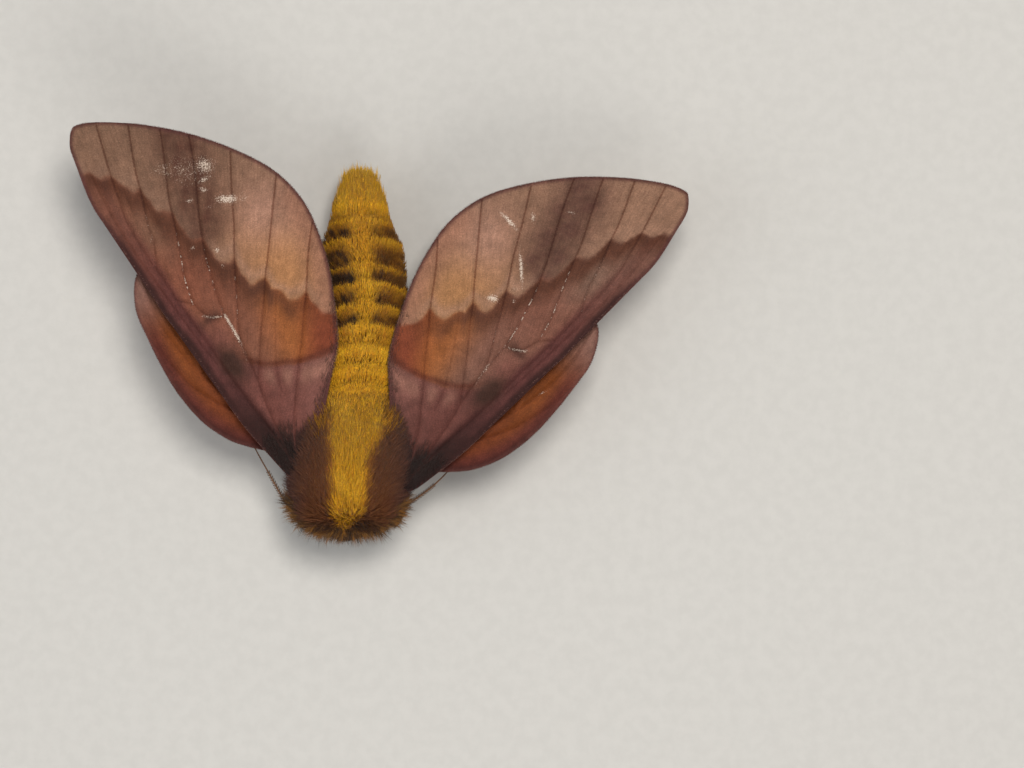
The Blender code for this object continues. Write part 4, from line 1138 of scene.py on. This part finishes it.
def wing_hair(pose, key, material, margin):
    """Fine hair on the forewing's base and inner margin, and the short fringe along its edges."""
    rng = np.random.default_rng(80 + pose["side"])
    spread = TUFTS["wing_base"]
    s = rng.uniform(-0.6, 11.0, spread * 3)
    w = rng.uniform(-1.0, 12.0, spread * 3)
    p2 = np.column_stack([s, w])
    ok = inside(p2, margin)
    rear = distance_to(p2, smooth_line(FOREWING[22:31]))[0]
    near = np.hypot(s, w)
    chance = np.clip(1.3 - near / 3.8, 0, 1) + 0.35 * np.clip(1 - rear / 0.8, 0, 1)
    ok &= rng.uniform(0, 1, len(s)) < chance
    s, w, rear = s[ok][:spread], w[ok][:spread], rear[ok][:spread]
    count = len(s)
    at = forewing_points(pose, s, w, np.full(count, WING_THICK / 2 + 0.02))
    along, span, up = wing_frame(pose)
    angle = 0.35 + 0.5 * np.clip(1 - rear / 2.5, 0, 1) + rng.normal(0, 0.15, count)
    lie = along * np.cos(angle)[:, None] + span * np.sin(angle)[:, None]
    normal = np.tile(up, (count, 1))
    colour = fore_colours(s, w, np.full(count, 2.0), np.zeros(count, int), np.full(count, 3.0),
                          pose["side"])[0] * 1.15
    near = np.hypot(s, w)
    colour = mix(colour, MAUVE_HAIR, rng.uniform(0, 0.3, count))
    colour *= (rng.normal(1, 0.14, count) * (0.6 + 0.45 * ramp(near, 2.0, 7.0)))[:, None]
    length = np.clip(1.4 - 0.13 * near, 0.45, 1.3) * rng.uniform(0.7, 1.15, count)
    uv = np.column_stack([(s + 2) / 45, (w + 2) / 45])
    tufts(f"coat_wing_base_{key}", at, lie, normal, length,
          0.07 * rng.uniform(0.7, 1.2, count), rng.uniform(0.02, 0.12, count),
          colour, uv, material, rng, root_shade=0.75)
    line = resample(smooth_line(FOREWING[1:30]), 0.03)
    outward = edge_out(line, margin)
    run = np.linspace(0, 1, len(line))
    fringe = np.interp(run, (0.0, 0.42, 0.5, 0.62, 0.8, 1.0), (0.08, 0.08, 0.1, 0.12, 0.16, 0.4))
    slant = along * 0.3 + span * 0.2 + rng.normal(0, 0.06, (len(line), 3))
    lie = normed(outward[:, :1] * along + outward[:, 1:] * span + slant)
    at = forewing_points(pose, line[:, 0] - outward[:, 0] * 0.1, line[:, 1] - outward[:, 1] * 0.1,
                         rng.normal(0, 0.02, len(line)))
    colour = (0.115, 0.045, 0.040)
    colour = mix(colour, (0.24, 0.125, 0.095), rng.uniform(0, 0.7, len(line)))
    colour *= rng.normal(1, 0.12, len(line))[:, None]
    uv = np.column_stack([(line[:, 0] + 2) / 45, (line[:, 1] + 2) / 45 + 0.5])
    tufts(f"fringe_forewing_{key}", at, lie, np.tile(up, (len(line), 1)),
          fringe * rng.uniform(0.8, 1.15, len(line)) + 0.1, np.full(len(line), 0.045),
          rng.uniform(-0.05, 0.05, len(line)), colour, uv, material, rng,
          stations=3, root_shade=0.85)


def hind_fringe(pose, key, material):
    rng = np.random.default_rng(90 + pose["side"])
    margin = resample(smooth_line(HINDWING, closed=True), 0.3, closed=True)
    line = resample(smooth_line(HINDWING[1:21]), 0.035)
    outward = edge_out(line, margin)
    inner = line - outward * 0.1
    at = hindwing_points(pose, inner[:, 0], inner[:, 1], rng.normal(0, 0.02, len(line)))
    tip = hindwing_points(pose, inner[:, 0] + outward[:, 0], inner[:, 1] + outward[:, 1],
                          np.zeros(len(line)))
    lie = normed(tip - at)
    colour = mix((0.085, 0.028, 0.024), (0.20, 0.09, 0.06), rng.uniform(0, 0.6, len(line)))
    run = np.linspace(0, 1, len(line))
    size = np.interp(run, (0, 0.45, 0.6, 1.0), (0.08, 0.1, 0.15, 0.3))
    uv = np.column_stack([(line[:, 0] + 2) / 45, (line[:, 1] + 6) / 45])
    tufts(f"fringe_hindwing_{key}", at, lie, np.tile((0.0, 0.0, 1.0), (len(line), 1)),
          size * rng.uniform(0.8, 1.2, len(line)) + 0.1, np.full(len(line), 0.06),
          rng.uniform(-0.05, 0.05, len(line)), colour, uv, material, rng, stations=3,
          root_shade=0.85)


def tube_mesh(points, radii, sides, flat=1.0):
    """Rings round a bent line: points, faces, and a unit frame at each ring."""
    p = np.asarray(points, float)
    ahead = normed(np.gradient(p, axis=0))
    side = normed(np.cross(ahead[0], (0, 0, 1.0)))
    rows, frames = [], []
    for i in range(len(p)):
        side = normed(side - ahead[i] * (side @ ahead[i]))
        up = np.cross(side, ahead[i])
        frames.append((ahead[i], side.copy(), up))
        angle = np.arange(sides) * math.tau / sides
        rows.append(p[i] + radii[i] * (np.cos(angle)[:, None] * side
                                       + np.sin(angle)[:, None] * up * flat))
    points = np.vstack(rows)
    faces, a, b = ring_faces(len(p), sides)
    base = (len(p) - 1) * sides
    faces += [fan_faces(a, b, len(points)), fan_faces(base + b, base + a, len(points) + 1)]
    return np.vstack([points, p[:1], p[-1:]]), np.vstack(faces)[:, ::-1], frames


def joined(tubes):
    """One set of points, faces and colours out of several tubes, each of one colour."""
    starts = np.cumsum([0] + [len(points) for points, _, _ in tubes])
    return (np.vstack([points for points, _, _ in tubes]),
            np.vstack([faces + start for (_, faces, _), start in zip(tubes, starts)]),
            np.vstack([np.tile(colour, (len(points), 1)) for points, _, colour in tubes]))


def round_tube(frames, at, angle):
    """The tube's direction and its outward normal, at chosen rings and angles."""
    ahead, side, up = (np.array([f[k] for f in frames])[at] for k in range(3))
    return ahead, side * np.cos(angle)[:, None] + up * np.sin(angle)[:, None]


def make_feeler(key, material):
    """Shaft with two rows of short comb branches on each side, longest near the base."""
    path = resample(smooth_line(FEELERS[key]), 0.09)
    count = len(path)
    run = np.linspace(0, 1, count)
    ribs = 1 + 0.14 * np.sin(np.arange(count) * math.pi / 1.5)
    radii = (0.115 - 0.06 * run) * ribs
    points, faces, frames = tube_mesh(path, radii, 10)
    tubes = [(points, faces, (0.135, 0.063, 0.028))]
    for i in range(4, count - 3, 3):
        ahead, side, up = frames[i]
        size = 0.30 * (1 - run[i]) ** 0.35 * min(1.0, run[i] * 8) * (1.0 if run[i] < 0.72 else 0.3)
        if size < 0.1:
            continue
        for hand in (-1, 1):
            for lean in (0.25, 0.62):
                start = path[i] + side * hand * radii[i] * 0.6
                out = side * hand * 0.55 + ahead * lean + up * (-0.35 if lean < 0.5 else -0.1)
                out = normed(out)
                t = np.linspace(0, 1, 5)[:, None]
                line = start + size * (out * t + ahead * 0.35 * t ** 2)
                branch, ends, _ = tube_mesh(line, 0.05 * (1 - 0.75 * t[:, 0]), 4)
                tubes.append((branch, ends, (0.085, 0.038, 0.018)))
    points, faces, shade = joined(tubes)
    obj = make_mesh(f"feeler_{key}", in_box(points), faces, material, shade)
    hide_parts(f"antenna_{key}")


def middle_line(y):
    return body_section(np.atleast_1d(float(y)))[0][0]


def make_leg(leg, key, side, skin, hair):
    rng = np.random.default_rng(100 + 10 * side + len(leg))
    joints = np.array([(middle_line(j[1]) + side * j[0], j[1], j[2], j[3]) for j in LEGS[leg]])
    path = resample(smooth_line(joints, per=8), 0.12)
    run = np.linspace(0, 1, len(path))
    foot = ramp(run, 0.72, 0.78)
    beads = 1 + 0.16 * foot * np.sin(run * 130)
    radii = path[:, 3] * np.where(foot > 0.5, 0.75, 0.82) * beads
    line = path[:, :3].copy()
    line[:, 2] = np.maximum(line[:, 2], radii + 0.02)
    points, faces, frames = tube_mesh(line, radii, 12)
    tubes = [(points, faces, mix((0.20, 0.085, 0.05), (0.13, 0.06, 0.04), 0.3))]
    ahead, across, _ = frames[-1]
    for hand in (-1, 1):
        t = np.linspace(0, 1, 6)[:, None]
        hook = line[-1] + ahead * 0.42 * t + across * hand * (0.07 + 0.16 * t) + np.array(
            (0, 0, 1.0)) * (0.1 * np.sin(t * math.pi) - 0.12 * t ** 2)
        claw, ends, _ = tube_mesh(hook, 0.055 * (1 - 0.85 * t[:, 0]), 6)
        tubes.append((claw, ends, (0.05, 0.025, 0.015)))
    points, faces, shade = joined(tubes)
    obj = make_mesh(f"limb_{leg}_{key}", in_box(points), faces, skin, shade)
    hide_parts(f"leg_{leg}_{key}")
    count = TUFTS["leg"]
    at = rng.integers(0, len(path) - 2, count)
    angle = rng.uniform(0, math.tau, count)
    ahead, normal = round_tube(frames, at, angle)
    start = line[at] + normal * (radii[at] * 0.85)[:, None]
    lie = ahead + rng.normal(0, 0.12, (count, 3))
    lie -= normal * (lie * normal).sum(axis=1)[:, None]
    lie = normed(lie)
    fur = 1 - ramp(run[at], 0.5 if leg == "front" else 0.66, 0.8)
    length = 0.25 + 0.6 * fur * rng.uniform(0.6, 1.1, count)
    lift = 0.12 + 0.32 * fur * rng.uniform(0.5, 1.1, count)
    colour = mix(LEG_HAIR, ORANGE_HAIR, rng.uniform(0, 0.3, count))
    # The front legs' hair is painted darker (0.5 against 0.85) as painted shade under the collar.
    colour *= (rng.normal(1, 0.15, count) * (0.5 if leg == "front" else 0.85))[:, None]
    uv = np.column_stack([run[at] * 0.95 + 0.02, angle / math.tau * 0.95 + 0.02])
    tufts(f"coat_leg_{leg}_{key}", start, lie, normal, length,
          0.09 * rng.uniform(0.7, 1.2, count), lift, colour, uv, hair, rng)


def make_eye(key, side, material):
    around, rings = 40, 18
    theta = np.linspace(0, math.pi / 2 * 1.12, rings)
    phi = np.linspace(0, math.tau, around, endpoint=False)
    centre = HEAD_CENTRE + np.array((side * 1.25, -0.15, -0.1))
    radii = np.array((1.12, 0.98, 1.02))
    tt, pp = np.repeat(theta[1:], around), np.tile(phi, rings - 1)
    unit = np.column_stack([np.cos(tt) * side, np.sin(tt) * np.cos(pp), np.sin(tt) * np.sin(pp)])
    points = np.vstack([centre + unit * radii, [centre + (side * radii[0], 0, 0)],
                        [centre - (side * 0.2, 0, 0)]])
    faces, a, b = ring_faces(rings - 1, around)
    base = (rings - 2) * around
    faces += [fan_faces(a, b, len(points) - 2), fan_faces(base + b, base + a, len(points) - 1)]
    faces = np.vstack(faces)
    if side < 0:
        faces = faces[:, ::-1]
    obj = make_mesh(f"eyeball_{key}", points, faces, material)
    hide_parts(f"eye_{key}")


def make_palp(key, side, skin, hair):
    rng = np.random.default_rng(120 + side)
    line = smooth_line([(HEAD_CENTRE[0] + side * x, y, z) for x, y, z in (
        (0.5, -17.95, 3.75), (0.66, -18.25, 3.45), (0.74, -18.3, 2.9), (0.78, -18.2, 2.35))])
    run = np.linspace(0, 1, len(line))
    radii = 0.23 - 0.17 * run ** 1.5
    points, faces, frames = tube_mesh(line, radii, 12)
    obj = make_mesh(f"feeding_{key}", points, faces, skin,
                    np.tile((0.045, 0.020, 0.012), (len(points), 1)))
    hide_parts(f"palp_{key}")
    count = TUFTS["palp"]
    at = rng.integers(0, len(line) - 1, count)
    angle = rng.uniform(0, math.tau, count)
    ahead, normal = round_tube(frames, at, angle)
    colour = mix(LEG_HAIR, RUFF_HAIR, rng.uniform(0, 1, count))
    uv = np.column_stack([run[at] * 0.9 + 0.05, angle / math.tau * 0.9 + 0.05])
    # The palp hair is painted at 0.35 of its colour, as painted shade under the head and collar.
    tufts(f"coat_palp_{key}", line[at] + normal * 0.15, ahead, normal,
          rng.uniform(0.25, 0.4, count), np.full(count, 0.06), rng.uniform(0.15, 0.35, count),
          colour * 0.35, uv, hair, rng)


def side_tufts(material):
    """Ochre tufts behind the wing bases, and the hair that runs from the thorax onto the wings."""
    rng = np.random.default_rng(140)
    for key, side in (("right", -1), ("left", 1)):
        count = TUFTS["side"]
        y = rng.normal(-8.2, 0.7, count)
        angle = math.pi / 2 - side * rng.normal(math.radians(46), math.radians(10), count)
        p, back, _, normal = body_frame(y, angle)
        lie = normed(back + np.array((side * 0.45, 0, 0.1)) + rng.normal(0, 0.12, (count, 3)))
        colour = mix(ORANGE_HAIR * 0.6, YELLOW, rng.uniform(0, 0.35, count))
        colour *= rng.normal(1, 0.15, count)[:, None]
        tufts(f"coat_tuft_{key}", p, lie, normal, rng.uniform(0.9, 1.9, count),
              0.085 * rng.uniform(0.8, 1.2, count), rng.uniform(0.3, 0.55, count),
              colour, body_uv(y, angle), material, rng)
        count = TUFTS["shoulder"]
        y = rng.uniform(-15.0, -7.8, count)
        angle = math.pi / 2 - side * np.radians(rng.uniform(40, 76, count))
        p, back, _, normal = body_frame(y, angle)
        lie = back * 0.8 + np.array((side * 0.75, 0, -0.12)) + rng.normal(0, 0.13, (count, 3))
        lie = normed(lie)
        reach = np.abs(p[:, 0] - body_section(y)[0])
        colour = mix(SIDE_HAIR, MAUVE_HAIR, ramp(reach, 2.4, 4.0))
        colour *= rng.normal(1, 0.14, count)[:, None]
        tufts(f"coat_shoulder_{key}", p, lie, normal, rng.uniform(1.3, 2.1, count),
              0.09 * rng.uniform(0.8, 1.2, count), rng.uniform(0.24, 0.42, count),
              colour, body_uv(y, angle), material, rng)


def make_floor():
    bpy.ops.mesh.primitive_plane_add(size=1.2, location=(0, 0, 0))
    floor = bpy.context.active_object
    floor.name = "floor"
    n = Nodes("floor_pale")
    grain = n.map(n.noise(900.0, 4.0), 0.3, 0.7, 0.97, 1.02)
    colour = n.times((0.50, 0.485, 0.46), grain)
    n.bump(n.noise(2500.0, 4.0), 0.08, 0.00005)
    floor.data.materials.append(n.finish(colour, 0.85, 0.0, 0.2))


def add_light(name, place, size, power, colour):
    light = bpy.data.lights.new(name, "AREA")
    light.energy = power
    light.size = size
    light.color = colour
    obj = bpy.data.objects.new(name, light)
    obj.location = place
    obj.rotation_euler = (Vector((0, 0, 0.005)) - Vector(place)).to_track_quat("-Z", "Y").to_euler()
    bpy.context.scene.collection.objects.link(obj)


def make_stage():
    make_floor()
    camera = bpy.data.cameras.new("camera")
    camera.sensor_width = 36.0
    camera.lens = camera.sensor_width * VIEW_HIGH / VIEW_WIDE
    camera.clip_start = 0.01
    camera.clip_end = 20.0
    obj = bpy.data.objects.new("camera", camera)
    obj.location = Vector((*VIEW_MIDDLE, VIEW_HIGH)) * UNIT
    bpy.context.scene.collection.objects.link(obj)
    bpy.context.scene.camera = obj
    view = bpy.context.scene.view_settings
    view.view_transform = "Standard"
    view.look = "None"
    add_light("key", (0.06, 0.12, 0.43), 0.16, 1.72, (1.0, 0.97, 0.92))
    add_light("fill", (-0.35, -0.1, 0.25), 0.4, 0.75, (0.92, 0.96, 1.0))
    add_light("rim", (0.12, -0.36, 0.28), 0.3, 0.95, (1.0, 0.98, 0.95))
    world = bpy.data.worlds.new("studio")
    bpy.context.scene.world = world
    world.use_nodes = True
    world.node_tree.nodes["Background"].inputs[0].default_value = (0.75, 0.78, 0.82, 1)
    world.node_tree.nodes["Background"].inputs[1].default_value = 0.25


def main():
    make_stage()
    hair = hair_material("hair")
    skin = skin_material("skin")
    wing = wing_material("wing_scales")
    eye = eye_material()
    horn = feeler_material()
    body = make_skin(skin)
    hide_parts("head", "thorax", "abdomen")
    body_coat(hair)
    collar_coat(hair)
    head_coat(hair)
    side_tufts(hair)
    for key, pose in WING_POSES.items():
        margin = make_wing(f"forewing_skin_{key}", FOREWING, FORE_VEINS, forewing_points,
                           fore_colours, pose, wing, 0.2)
        make_wing(f"hindwing_skin_{key}", HINDWING, HIND_VEINS, hindwing_points, hind_colours,
                  pose, wing, 0.24)
        wing_hair(pose, key, hair, margin)
        hind_fringe(pose, key, hair)
        make_feeler(key, horn)
        make_eye(key, pose["side"], eye)
        make_palp(key, pose["side"], skin, hair)
        for leg in LEGS:
            make_leg(leg, key, pose["side"], skin, hair)
    for piece in PIECES:
        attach(piece, "root")


main()
bpy.context.view_layer.update()
